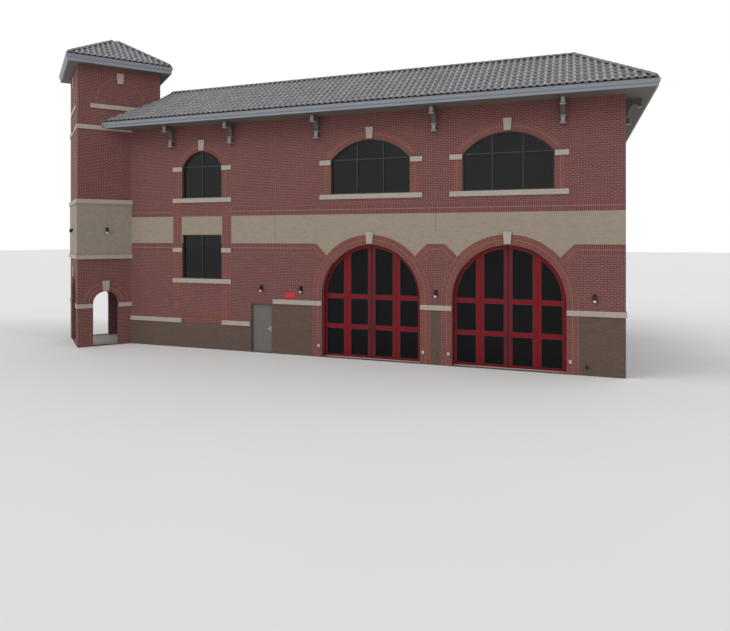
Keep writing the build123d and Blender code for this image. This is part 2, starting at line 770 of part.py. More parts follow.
# Tower dressings
def tower_dressings(roofs):
    """Stucco skin and stone rings, only where the tower stands clear of the range and its roof."""
    range_space = prism(FOOTPRINT, -THROUGH, base(SOFFIT))
    skin = inset(TOWER, -STUCCO_PROUD)
    stone = inset(TOWER, -STUCCO_PROUD - STONE_PROUD)
    solid = prism(TOWER, -THROUGH, base(TOWER_TOP) + THROUGH)
    stucco_low = base(STUCCO_BOTTOM) + STUCCO_BASE_TRIM
    stucco_high = base(STUCCO_TOP) - STUCCO_CAP
    stucco = prism(skin, stucco_low, stucco_high) - solid - range_space
    rings = [
        prism(stone, base(STUCCO_BOTTOM), stucco_low) - solid - range_space,
        prism(stone, stucco_high, base(STUCCO_TOP)) - solid - range_space,
    ]
    band = prism(inset(TOWER, -STONE_PROUD), base(TOWER_BAND_TOP - STONE), base(TOWER_BAND_TOP)) - solid
    rings.append(band - range_space - prism(inset(FOOTPRINT, -OVERHANG), base(SOFFIT), base(TILE_EDGE)))
    middle = TOWER_SIDE / 2
    for side in range(4):
        plane = wall_plane(TOWER, side)
        if side != TOWER_NE:
            ledge = stone_box(plane, middle - BLIND_WIDTH / 2, base(BLIND_SILL), BLIND_WIDTH)
            parts = (ledge - roofs["roof_front"] - roofs["roof_street"]).solids()
            rings.append(max(parts, key=lambda part: part.volume))
        rings.append(keystone(plane, middle, BLIND_KEY, BLIND_KEY_HEIGHT))
    for side, arch in PORCH_ARCHES.items():
        crown = arch.spring + arch.rise + KEYSTONE_LIFT
        rings.append(keystone(wall_plane(TOWER, side), arch.centre, crown))
    return {"tower_stucco": stucco, "tower_stone": group(rings)}


# Stone dressings of the walls
def stone_box(plane, start, bottom, length, height=STONE):
    return wall_box(plane, start, bottom, (length, height, STONE_PROUD))


def keystone(plane, centre, bottom, height=KEYSTONE_HEIGHT):
    """A wedge, wider at its top."""
    low = base(bottom)
    top = low + height
    half = KEYSTONE_WIDTH / 2
    foot = half * KEYSTONE_TAPER
    corners = ((centre - foot, low), (centre + foot, low), (centre + half, top), (centre - half, top))
    return slab_out(plane, make_face(Polyline(*corners, close=True)), 0, KEYSTONE_PROUD)


def sill(plane, opening, reach):
    start = opening.centre - opening.width / 2 - reach
    return stone_box(plane, start, base(opening.sill) - STONE, opening.width + 2 * reach)


def imposts(plane, opening, reach, level):
    half = opening.width / 2
    return [
        stone_box(plane, opening.centre - half - reach, base(level) - STONE, reach),
        stone_box(plane, opening.centre + half, base(level) - STONE, reach),
    ]


def crown(opening):
    """The top of an opening, above the apron."""
    return opening.spring + opening.rise


def dressed_windows():
    """Every window that has stone, with its wall, its reach and the level of its imposts' tops."""
    front = wall_plane(FOOTPRINT, FRONT)
    rear = wall_plane(FOOTPRINT, REAR)
    wing = wall_plane(FOOTPRINT, WING)
    street = wall_plane(FOOTPRINT, STREET)
    east = wall_plane(FOOTPRINT, EAST)
    rows = [(front, o, SILL_REACH, SPRING_LEVEL) for o in FRONT_WINDOWS[:3]]
    rows.append((front, FRONT_WINDOWS[3], SILL_REACH, HALL_IMPOST))
    rows += [(wing, o, SHORT_REACH, SPRING_LEVEL) for o in WING_WINDOWS]
    rows += [(street, o, SHORT_REACH, SPRING_LEVEL) for o in STREET_HIGH]
    rows += [(rear, o, SHORT_REACH, SPRING_LEVEL) for o in REAR_HIGH]
    rows += [(east, o, SHORT_REACH, SPRING_LEVEL) for o in EAST_HIGH]
    rows += [(rear, o, SHORT_REACH, LOW_IMPOST) for o in REAR_LOWER]
    rows += [(wall_plane(ROOM, 0), o, SHORT_REACH, LOW_IMPOST) for o in ROOM_NORTH]
    return rows


def stone_dressings():
    sills = []
    sides = []
    keys = []
    for plane, opening, reach, level in dressed_windows():
        sills.append(sill(plane, opening, reach))
        sides += imposts(plane, opening, reach, level)
        if opening is not FRONT_WINDOWS[3]:
            keys.append(keystone(plane, opening.centre, crown(opening) + KEYSTONE_LIFT))
    front = wall_plane(FOOTPRINT, FRONT)
    keys += [keystone(front, o.centre, BAND_BOTTOM) for o in BAY_OPENINGS]
    street = wall_plane(FOOTPRINT, STREET)
    pier = STREET_LOW_PITCH - STREET_LOW_WIDTH
    first = STREET_LOWER[-1].centre - STREET_LOW_WIDTH / 2
    run = (STREET_LOW_COUNT - 1) * STREET_LOW_PITCH + STREET_LOW_WIDTH
    under = base(STREET_LOW_SILL) - STONE
    sills.append(stone_box(street, first - SHORT_REACH, under, run + 2 * SHORT_REACH))
    low = base(STREET_LOW_IMPOST) - STONE
    for n in range(STREET_LOW_COUNT - 1):
        sides.append(stone_box(street, first + STREET_LOW_WIDTH + n * STREET_LOW_PITCH, low, pier))
    sides.append(stone_box(street, first - SHORT_REACH, low, SHORT_REACH))
    sides.append(stone_box(street, first + run, low, SHORT_REACH))
    middle = first + run / 2
    keys.append(keystone(street, middle, STREET_LOW_HEAD + KEYSTONE_LIFT))
    bump_west = wall_plane(BUMP, 1)
    sides += imposts(wall_plane(BUMP, 0), BUMP_NORTH[1], SHORT_REACH, LOW_IMPOST)
    for opening in BUMP_WEST:
        sides += imposts(bump_west, opening, SHORT_REACH, LOW_IMPOST)
        sills.append(sill(bump_west, opening, 0))
    room_west = wall_plane(ROOM, 1)
    keys.append(keystone(room_west, ROOM_WEST[0].centre, crown(ROOM_WEST[0]) + KEYSTONE_LIFT))
    return {
        "sills_and_imposts": group(sills + sides),
        "keystones": group(keys),
    }


def band_row(plane, level, stretches):
    """Lengths of the stone course above the brown brickwork, with its top at a level."""
    return [stone_box(plane, start, base(level) - STONE, end - start) for start, end in stretches]


def base_band():
    """The stone course, in lengths between openings, piers and corners."""
    front = wall_plane(FOOTPRINT, FRONT)
    tower_meet = FRONT_WIDTH + meet(TOWER[0], TOWER_ALONG, Vector(0, 0, 0), Vector(1, 0, 0)).X
    door_left = MAN_DOOR_OPENING.centre - DOOR_WIDTH / 2
    door_right = MAN_DOOR_OPENING.centre + DOOR_WIDTH / 2
    hall = from_east(HALL_WINDOW)
    bays = [o.centre for o in BAY_OPENINGS]
    side = BAY_WIDTH / 2
    pieces = band_row(
        front, BAND_LOW, [(tower_meet, hall - HALL_PIER), (hall + HALL_PIER, door_left - DOOR_FRAME)]
    )
    pieces += band_row(
        front,
        BAND_HIGH,
        [
            (door_right + DOOR_FRAME, bays[0] - side),
            (bays[0] + side, bays[1] - side),
            (bays[1] + side, FRONT_WIDTH + STONE_PROUD),
        ],
    )
    east = wall_plane(FOOTPRINT, EAST)
    pieces += band_row(east, BAND_HIGH, [(0, BLOCK_DEPTH + ANNEX_DEPTH)])
    annex_north = wall_plane(ANNEX, 1)
    annex_west = wall_plane(ANNEX, 2)
    pieces += band_row(annex_north, BAND_HIGH, [(-STONE_PROUD, ANNEX_WIDTH + STONE_PROUD)])
    pieces += band_row(annex_west, BAND_HIGH, [(0, ANNEX_DEPTH - STONE_PROUD)])
    rear = wall_plane(FOOTPRINT, REAR)
    window = REAR_LOWER[0]
    room_window = ROOM_NORTH[0]
    left = window.centre - window.width / 2
    right = window.centre + window.width / 2
    room_left = BLOCK_WIDTH + room_window.centre - room_window.width / 2
    room_right = room_left + room_window.width
    pieces += band_row(
        rear, BAND_LOW, [(ANNEX_WIDTH, left), (right, room_left), (room_right, BLOCK_WIDTH + ROOM_WIDTH)]
    )
    room_west = wall_plane(ROOM, 1)
    bump_north = wall_plane(BUMP, 0)
    bump_west = wall_plane(BUMP, 1)
    bump_south = wall_plane(BUMP, 2)
    pieces += band_row(room_west, BAND_LOW, [(-STONE_PROUD, BLOCK_DEPTH - BUMP[0].Y)])
    pieces += band_row(bump_north, BAND_LOW, [(STONE_PROUD, side_length(BUMP, 0))])
    edges = [0] + [e for o in BUMP_WEST for e in (o.centre - o.width / 2, o.centre + o.width / 2)]
    edges.append(side_length(BUMP, 1))
    pieces += band_row(bump_west, BAND_LOW, zip(edges[::2], edges[1::2]))
    pieces += band_row(bump_south, BAND_LOW, [(0, BUMP_OUT)])
    for face, arch in PORCH_ARCHES.items():
        spans = [(0, arch.centre - arch.width / 2), (arch.centre + arch.width / 2, TOWER_SIDE)]
        pieces += band_row(wall_plane(TOWER, face), PORCH_SPRING, spans)
    clear = prism(FOOTPRINT, -THROUGH, base(SOFFIT))
    return {"stone_base_band": joined(pieces) - clear - prism(ROOM, -THROUGH, base(SOFFIT))}


# Glass and doors
def glass():
    sets = {
        "front_glass": [(wall_plane(FOOTPRINT, FRONT), FRONT_WINDOWS)],
        "rear_glass": [
            (wall_plane(FOOTPRINT, REAR), REAR_HIGH + REAR_LOWER),
            (wall_plane(FOOTPRINT, EAST), EAST_HIGH),
        ],
        "street_glass": [
            (wall_plane(FOOTPRINT, STREET), STREET_HIGH + STREET_LOWER),
            (wall_plane(FOOTPRINT, WING), WING_WINDOWS),
            (wall_plane(ROOM, 0), ROOM_NORTH),
            (wall_plane(ROOM, 1), ROOM_WEST),
            (wall_plane(BUMP, 0), BUMP_NORTH),
            (wall_plane(BUMP, 1), BUMP_WEST),
            (wall_plane(TOWER, TOWER_NE), [ENTRANCE]),
        ],
    }
    return {
        name: group([pane for plane, row in rows for pane in glass_panes(plane, row)])
        for name, rows in sets.items()
    }


def upright(left, right, bottom, top):
    """A rectangle on a wall, from its edges."""
    return Pos((left + right) / 2, (bottom + top) / 2) * Rectangle(right - left, top - bottom)


def bay_door(opening):
    """Four folding leaves in an arch, each with three panes, and the glass in them."""
    plane = wall_plane(FOOTPRINT, FRONT)
    outline = opening_face(opening)
    inner_arch = opening_face(opening, STILE)
    pitch = opening.width / LEAVES
    left = opening.centre - opening.width / 2
    low = base(opening.sill)
    top = base(crown(opening)) + THROUGH
    levels = [
        (low + KICK_RAIL, base(LOW_RAIL) - RAIL / 2),
        (base(LOW_RAIL) + RAIL / 2, base(HIGH_RAIL) - RAIL / 2),
        (base(HIGH_RAIL) + RAIL / 2, top),
    ]
    leaves = []
    panes = []
    for n in range(LEAVES):
        start = left + n * pitch + (LEAF_GAP / 2 if n else 0)
        end = left + (n + 1) * pitch - (LEAF_GAP / 2 if n < LEAVES - 1 else 0)
        strip = upright(start, end, low + LEAF_GAP, top)
        leaf = slab_out(plane, outline & strip, -BAY_RECESS - LEAF, LEAF)
        for bottom, head in levels:
            field = upright(start + STILE, end - STILE, bottom, head)
            pane = inner_arch & field
            leaf = leaf - slab_out(plane, pane, -BAY_RECESS - LEAF, LEAF)
            panes.append(slab_out(plane, pane, -BAY_RECESS - LEAF / 2 - GLASS / 2, GLASS))
        leaves.append(leaf)
    return group(leaves), panes


def bay_doors():
    first, first_panes = bay_door(BAY_OPENINGS[0])
    second, second_panes = bay_door(BAY_OPENINGS[1])
    return {
        "bay_door_west": first,
        "bay_door_east": second,
        "bay_door_glass": group(first_panes + second_panes),
    }


def hinged_door(plane, opening):
    """A leaf that swings outwards on its left edge, and the frame round it with the lower knuckles."""
    left = opening.centre - opening.width / 2
    bottom = base(opening.sill)
    height = opening.spring - opening.sill
    threshold = bottom if bottom < base(0) else 0
    inner = -DOOR_RECESS - DOOR_FRAME_DEPTH
    whole = (opening.width, height + threshold, DOOR_FRAME_DEPTH)
    clear = (opening.width - 2 * DOOR_FRAME, height - DOOR_FRAME, DOOR_FRAME_DEPTH)
    frame = wall_box(plane, left, bottom - threshold, whole, inner)
    frame = frame - wall_box(plane, left + DOOR_FRAME, bottom, clear, inner)
    hinge = left + DOOR_FRAME + DOOR_GAP
    size = (clear[0] - 2 * DOOR_GAP, clear[1] - 2 * DOOR_GAP, DOOR_LEAF)
    leaf = wall_box(plane, hinge, bottom + DOOR_GAP, size, -DOOR_RECESS - DOOR_LEAF)
    plate = (HINGE_PLATE, HINGE_HEIGHT, HINGE_REACH)
    for level in HINGE_LEVELS:
        upper = bottom + level + HINGE_HEIGHT + HINGE_PLAY
        leaf = leaf + knuckle(plane, hinge, upper)
        leaf = leaf + wall_box(plane, hinge, upper, plate, -DOOR_RECESS)
        frame = frame + knuckle(plane, hinge, bottom + level)
        reach = (HINGE_PLATE + DOOR_GAP, HINGE_HEIGHT, HINGE_REACH)
        frame = frame + wall_box(plane, hinge - reach[0], bottom + level, reach, -DOOR_RECESS)
    return leaf, frame


def knuckle(plane, along, bottom):
    """One barrel of a hinge, upright in front of the frame's face."""
    centre = plane.origin + plane.x_dir * along + plane.z_dir * (HINGE_REACH - DOOR_RECESS)
    return Pos(centre.X, centre.Y, bottom + HINGE_HEIGHT / 2) * Cylinder(HINGE_RADIUS, HINGE_HEIGHT)


def hinged_doors():
    front = wall_plane(FOOTPRINT, FRONT)
    rear = wall_plane(FOOTPRINT, REAR)
    man_door, first_frame = hinged_door(front, MAN_DOOR_OPENING)
    rear_east, second_frame = hinged_door(rear, REAR_DOOR_OPENINGS[0])
    rear_west, third_frame = hinged_door(rear, REAR_DOOR_OPENINGS[1])
    return {
        "man_door": man_door,
        "rear_door_east": rear_east,
        "rear_door_west": rear_west,
        "door_frames": group([first_frame, second_frame, third_frame]),
    }


# Fittings under the eaves and on the walls
def bracket(plane, centre):
    """A post on the wall with a foot, a beam under the soffit, an outer block and a curved brace."""
    top = base(SOFFIT)
    foot = top - BRACKET_DROP
    arm = top - BRACKET_ARM
    outer = BRACKET_REACH
    back = outer - BRACKET_POST
    tip = (back - BRACKET_TIP, arm)
    bulge, drop = BRACKET_BULGE
    corner = plane.origin + plane.x_dir * (centre + BRACKET_WIDTH / 2)
    side = Plane(corner, x_dir=plane.z_dir, z_dir=-plane.x_dir)
    outline = Polyline(
        (BRACKET_POST, foot + BRACKET_FOOT),
        (BRACKET_FOOT_DEPTH, foot + BRACKET_FOOT),
        (BRACKET_FOOT_DEPTH, foot),
        (0, foot),
        (0, top),
        (outer, top),
        (outer, top - BRACKET_BLOCK),
        (back, top - BRACKET_BLOCK),
        (back, arm),
        tip,
    )
    brace = ThreePointArc(tip, (bulge, top - drop), (BRACKET_POST, foot + BRACKET_FOOT))
    return extrude(side * make_face(outline + brace), amount=BRACKET_WIDTH, dir=-plane.x_dir)


def brackets():
    hall = [HALL_WINDOW + HALL_BRACKET, HALL_WINDOW - HALL_BRACKET]
    bays = [BAY_WEST + reach for reach in BAY_BRACKETS] + [BAY_EAST - END_BRACKET]
    rows = {
        FRONT: [from_east(x) for x in hall + bays],
        EAST: EAST_BRACKETS,
        REAR: REAR_BRACKETS,
        WING: WING_BRACKETS,
        STREET: STREET_BRACKETS,
    }
    pieces = []
    for side, row in rows.items():
        plane = wall_plane(FOOTPRINT, side)
        pieces += [bracket(plane, centre) for centre in row]
    return {"eave_brackets": group(pieces)}


def rain_pipe(plane, along, top):
    """A square pipe held off the wall by clips, at its foot, middle and top."""
    pipe = wall_box(plane, along, 0, (PIPE, top, PIPE), PIPE_STANDOFF)
    clips = [
        wall_box(plane, along, level, (PIPE, PIPE, PIPE_STANDOFF))
        for level in (PIPE, top / 2, top - 2 * PIPE)
    ]
    return joined([pipe] + clips)


def hung(plane, centre, level, size):
    """A block on a wall, centred on a place along it, its foot at a level."""
    return wall_box(plane, centre - size[0] / 2, base(level), size)


def fittings():
    """Lamps by the doors, a bare plate, the twin light behind and the rain pipes."""
    front = wall_plane(FOOTPRINT, FRONT)
    lamps = [
        MAN_DOOR,
        BAY_WEST + BAY_WIDTH / 2 + LAMP_SIDE,
        (BAY_WEST + BAY_EAST) / 2,
        BAY_EAST - BAY_WIDTH / 2 - LAMP_SIDE,
    ]
    pieces = [hung(front, from_east(x), LAMP_LEVEL, LAMP_SIZE) for x in lamps]
    pieces.append(hung(front, from_east(MAN_DOOR - PLATE_SIDE), PLATE_LEVEL, PLATE_SIZE))
    rear_room = wall_plane(ROOM, 0)
    pieces.append(wall_box(rear_room, TWIN_LIGHT, base(TWIN_LIGHT_LEVEL), TWIN_LIGHT_SIZE))
    annex_north = wall_plane(ANNEX, 1)
    rear = wall_plane(FOOTPRINT, REAR)
    pieces.append(rain_pipe(annex_north, ANNEX_PIPE, base(ANNEX_DECK - THROUGH)))
    pieces.append(rain_pipe(rear, REAR_PIPE, REAR_PIPE_TOP))
    return {"wall_fittings": group(pieces)}


def export(nodes):
    """One file a node, moved so that the origin is under the middle of the front range."""
    os.makedirs("parts", exist_ok=True)
    shift = Location((FRONT_WIDTH / 2, -BLOCK_DEPTH / 2, 0))
    for name, shape in nodes.items():
        export_step(shape.moved(shift), f"parts/{name}.step")


nodes = {}
nodes.update(walls_with_doors())
nodes["east_wall"] = main_wall(EAST, EAST_HIGH)
nodes["return_wall"] = main_wall(RETURN, [])
nodes["wing_north_wall"] = main_wall(WING, WING_WINDOWS + [ROOM_LINK])
nodes["street_wall"] = main_wall(STREET, STREET_HIGH + STREET_LOWER + [BUMP_LINK])
nodes.update(tower_walls())
nodes.update(floors())
roofs, main_gutters = main_roof()
nodes.update(roofs)
nodes["tower_roof"], tower_gutters = tower_roof()
nodes.update(parapet_parts())
bump, bump_gutters = bump_parts()
nodes.update(bump)
nodes["gutters"] = group(main_gutters + tower_gutters + bump_gutters)
nodes.update(tower_dressings(roofs))
nodes.update(stone_dressings())
nodes.update(base_band())
nodes.update(glass())
nodes.update(bay_doors())
nodes.update(hinged_doors())
nodes.update(brackets())
nodes.update(fittings())
export(nodes)
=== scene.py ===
"""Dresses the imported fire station: brickwork, roof tiles, window frames, door fittings and the stage."""

import json
import math
from collections import namedtuple

import bmesh
import bpy
from bpy.props import FloatProperty, FloatVectorProperty, IntProperty
from bpy.types import Operator, Panel, PropertyGroup
from mathutils import Matrix, Vector

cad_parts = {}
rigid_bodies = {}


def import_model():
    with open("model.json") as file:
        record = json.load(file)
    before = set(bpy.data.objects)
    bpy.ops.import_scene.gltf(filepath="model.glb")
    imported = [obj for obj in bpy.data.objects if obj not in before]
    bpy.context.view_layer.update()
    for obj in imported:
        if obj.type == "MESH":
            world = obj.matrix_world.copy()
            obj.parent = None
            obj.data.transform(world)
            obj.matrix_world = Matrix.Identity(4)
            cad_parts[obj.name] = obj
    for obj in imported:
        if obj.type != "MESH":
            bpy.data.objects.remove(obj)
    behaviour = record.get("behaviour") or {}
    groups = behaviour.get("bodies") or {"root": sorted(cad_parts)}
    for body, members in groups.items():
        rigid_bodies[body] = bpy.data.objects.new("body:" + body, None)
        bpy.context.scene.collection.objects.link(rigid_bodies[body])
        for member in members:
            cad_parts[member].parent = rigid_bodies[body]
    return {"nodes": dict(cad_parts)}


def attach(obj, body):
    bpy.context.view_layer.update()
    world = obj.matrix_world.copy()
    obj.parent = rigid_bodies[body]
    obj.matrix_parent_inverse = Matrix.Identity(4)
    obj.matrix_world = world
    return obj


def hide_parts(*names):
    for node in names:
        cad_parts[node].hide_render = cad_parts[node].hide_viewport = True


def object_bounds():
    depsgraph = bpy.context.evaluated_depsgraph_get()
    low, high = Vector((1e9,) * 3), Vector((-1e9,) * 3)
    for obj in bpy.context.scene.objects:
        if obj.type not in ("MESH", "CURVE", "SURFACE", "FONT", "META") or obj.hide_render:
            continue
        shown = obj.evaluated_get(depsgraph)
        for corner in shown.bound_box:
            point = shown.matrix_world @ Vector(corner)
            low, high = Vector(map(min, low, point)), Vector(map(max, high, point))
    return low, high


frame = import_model()
CAD_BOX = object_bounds()

bl_info = {
    "name": "Fire station dressing",
    "version": (1, 0, 0),
    "blender": (4, 5, 0),
    "location": "View3D > Sidebar > Station",
    "description": "Finishes and small pieces for a brick fire station",
    "category": "Object",
}

# Places in metres. Heights are written above the front apron, as builders give them.
APRON = 2.0
REAR_GROUND = -2.0
REAR_FLOOR = -1.85
FRONT_LENGTH = 24.09
REAR_LINE = 11.075
BLOCK_X = -5.495
ANNEX_X = 4.945
ANNEX_LINE = 14.575
ROOM_STEP = 1.857
WING_DEPTH = 18.3
STREET_LENGTH = 18.5823
RING_DEPTH = 1.74
OVERHANG = 1.0
PITCH = 8 / 12
SOFFIT = 10.15
TILE_EDGE = 10.4
TOWER_TILE_EDGE = 13.3
TOWER_TOP = 13.0
TOWER_OVERHANG = 0.5
TOWER_SIDE = 3.66
TOWER_STEP = 1.058
EAVE_ON_TOWER = 1.002
TOWER_MEETING = 1.35
PORCH_SPRING = 1.98
TOWER_LAMPS = 5.35
BUMP_TILE_EDGE = 3.3
BUMP_RIDGE = 5.3
BUMP_SOFFIT = 3.05
BUMP_OVERHANG = 0.6
BUMP_OUT = 1.65
BUMP_START = 7.35
SILL = 6.84
SPRING = 8.28
BAND_BOTTOM = 4.79
BAND_TOP = 6.01
LOW_BASE = 1.13
HIGH_BASE = 2.16
COURSE_TOP = 1.33
SOLDIERS = 0.4064
ROW = 0.203
GLASS_FACE = -0.14
DOOR_FACE = -0.28
STILE = 0.15
BAY_SPRING = 2.62
BAY_RADIUS = 2.135
BAY_CENTRES = (14.425, 19.955)
BAY_LEAF = BAY_RADIUS / 2
LEAF_SEAM = 0.003
MAN_DOOR = 9.425
HALL_CENTRE = 6.35
TILE_START = 0.10
CAP_START = 0.25
RAIL_EDGES = ((0.12, 1.22), (1.40, 2.48), (2.66, None))
BAND_LEG = 2.37
SOLDIER_LEG = 1.762
BAY_BROWN_EDGE = 2.56
HALL_INNER = 1.10
HALL_OUTER = 1.55
LOW_WINDOWS = 4.97
LOW_WINDOWS_HALF = 2.23
LOW_HEAD = 2.6
REAR_HEAD = 2.56
TRANSOM = 1.67
SQUARE = ((-1, -1), (1, -1), (1, 1), (-1, 1))

Opening = namedtuple("Opening", "centre width sill spring rise")
Window = namedtuple("Window", "wall opening mullions transoms")


def linear(red, green, blue):
    """A colour as a screen shows it, turned into the values that Blender mixes."""

    def channel(value):
        share = value / 255
        return share / 12.92 if share <= 0.04045 else ((share + 0.055) / 1.055) ** 2.4

    return tuple(channel(value) for value in (red, green, blue))


def shaded(base, share):
    """A colour made darker or lighter."""
    return tuple(min(c * share, 1.0) for c in base)


def colour(name, description, *screen):
    return FloatVectorProperty(
        name=name, description=description, subtype="COLOR", size=3, min=0, max=1, default=linear(*screen)
    )


def length(name, description, default):
    return FloatProperty(name=name, description=description, default=default, min=0.001, unit="LENGTH")


class StationColours(PropertyGroup):
    """The colours of the finishes."""

    red_brick: colour("Red brick", "Faces of the red bricks", 106, 51, 50)
    brown_brick: colour("Brown brick", "Faces of the bricks below the stone band", 88, 70, 61)
    beige_brick: colour("Beige brick", "Faces of the bricks in the wide band", 153, 140, 122)
    mortar: colour("Mortar", "Joints between the bricks", 146, 128, 120)
    arch: colour("Arch brick", "Bricks of the arches and strips", 120, 62, 53)
    block: colour("Tower block", "Herringbone bricks of the tower", 147, 136, 124)
    stone: colour("Cast stone", "Sills, imposts, keystones and bands", 170, 159, 149)
    tile: colour("Roof tile", "Clay tiles, hips and crests", 158, 155, 158)
    metal: colour("Painted metal", "Gutters, fascias and caps", 130, 134, 141)
    soffit: colour("Soffit", "Boards under the eaves", 104, 98, 91)
    bronze: colour("Dark bronze", "Window frames", 52, 50, 50)
    glass: colour("Glass", "Window panes", 16, 17, 19)
    red_paint: colour("Red paint", "Bay doors", 116, 0, 15)
    grey_paint: colour("Grey paint", "Personnel doors and frames", 98, 94, 90)
    timber: colour("Brackets", "Eave brackets", 84, 79, 77)


class StationBricks(PropertyGroup):
    """Sizes of the brickwork."""

    course: length("Course", "Height of one course with its joint", 0.0677)
    stretcher: length("Stretcher", "Length of a brick with its joint", 0.2032)
    joint: length("Joint", "Width of a joint", 0.010)
    proud: length("Proud", "How far the arches stand out from the wall", 0.012)


class StationTiles(PropertyGroup):
    """Sizes of the roof tiles."""

    tile_width: length("Tile width", "Spacing of the columns", 0.25)
    tile_gauge: length("Gauge", "Length of tile that shows", 0.37)
    barrel: length("Barrel", "Height of the wave", 0.06)
    cap_spacing: length("Cap spacing", "Spacing of the hip and crest tiles", 0.32)
    seed: IntProperty(name="Seed", description="Seed of the tiles' shades", default=4)


class StationFrames(PropertyGroup):
    """Sizes of the window frames."""

    edge: length("Frame", "Width of the frame round a window", 0.055)
    bar: length("Bar", "Width of a mullion or transom", 0.05)
    depth: length("Depth", "Depth of the frames", 0.12)


# Plan
def plan(x, y):
    return Vector((x, y, 0))


def unit(degrees):
    turn = math.radians(degrees)
    return plan(math.cos(turn), math.sin(turn))


def left_of(direction):
    return plan(-direction.y, direction.x)


def meet(point, along, other, other_along):
    """Where the line through point meets the line through other."""
    gap = other - point
    cross = along.x * other_along.y - along.y * other_along.x
    return point + along * ((gap.x * other_along.y - gap.y * other_along.x) / cross)


def offset(corners, distance):
    """An outline moved inwards, or outwards where the distance is negative."""
    moved = []
    for index, here in enumerate(corners):
        before = corners[index - 1]
        after = corners[(index + 1) % len(corners)]
        arriving = (here - before).normalized()
        leaving = (after - here).normalized()
        moved.append(
            meet(before + left_of(arriving) * distance, arriving, here + left_of(leaving) * distance, leaving)
        )
    return moved


def lifted(corner, height):
    return Vector((corner.x, corner.y, APRON + height))


STREET_UP = unit(100)
FRONT_CORNER = plan(-FRONT_LENGTH / 2, -REAR_LINE)
WING_CORNER = FRONT_CORNER + STREET_UP * STREET_LENGTH
WING_Y = FRONT_CORNER.y + WING_DEPTH
ROOM_X = WING_CORNER.x + ROOM_STEP
FOOTPRINT = [
    plan(FRONT_LENGTH / 2, -REAR_LINE),
    plan(FRONT_LENGTH / 2, REAR_LINE),
    plan(BLOCK_X, REAR_LINE),
    plan(BLOCK_X, WING_Y),
    WING_CORNER,
    FRONT_CORNER,
]
TOWER_ALONG = unit(50)
TOWER_BACK = left_of(TOWER_ALONG)
TOWER_CENTRE = FRONT_CORNER + TOWER_ALONG * TOWER_STEP
TOWER = [
    TOWER_CENTRE + (TOWER_ALONG * x + TOWER_BACK * y) * (TOWER_SIDE / 2)
    for x, y in SQUARE
]
STREET_OUT = left_of(STREET_UP)


def bump_outline(reach):
    """Corners of a line round the street bay, from the room's face to the street wall."""
    line = FRONT_CORNER + STREET_OUT * (BUMP_OUT + reach)
    north = WING_Y + BUMP_OUT + reach
    start = FRONT_CORNER + STREET_UP * (BUMP_START - reach)
    return [
        plan(ROOM_X, north),
        meet(plan(0, north), plan(-1, 0), line, STREET_UP),
        start + STREET_OUT * (BUMP_OUT + reach),
        start,
    ]


BUMP = bump_outline(0)


class Wall:
    """A wall's outer face: u runs to the right as seen from outside, and out points at the viewer."""

    def __init__(self, start, degrees):
        self.start = start
        self.along = unit(degrees)
        self.out = plan(self.along.y, -self.along.x)

    def at(self, u, height, out=0.0):
        return lifted(self.start + self.along * u + self.out * out, height)


WALLS = {
    "front": Wall(FRONT_CORNER, 0),
    "east": Wall(FOOTPRINT[0], 90),
    "rear": Wall(FOOTPRINT[1], 180),
    "wing": Wall(FOOTPRINT[3], 180),
    "street": Wall(WING_CORNER, 280),
    "tower_front": Wall(TOWER[0], 50),
    "tower_inner": Wall(TOWER[1], 140),
    "tower_street": Wall(TOWER[2], 230),
    "tower_corner": Wall(TOWER[3], 320),
    "room_north": Wall(FOOTPRINT[2], 180),
    "room_west": Wall(plan(ROOM_X, REAR_LINE), 270),
    "bump_north": Wall(BUMP[0], 180),
    "bump_west": Wall(BUMP[1], 280),
    "annex_north": Wall(plan(FRONT_LENGTH / 2, ANNEX_LINE), 180),
    "annex_west": Wall(plan(ANNEX_X, ANNEX_LINE), 270),
}


def arched(centre, width=1.13, rise=None):
    return Opening(centre, width, SILL, SPRING, width / 2 if rise is None else rise)


def flat(centre, width, sill, head):
    return Opening(centre, width, sill, head, 0)


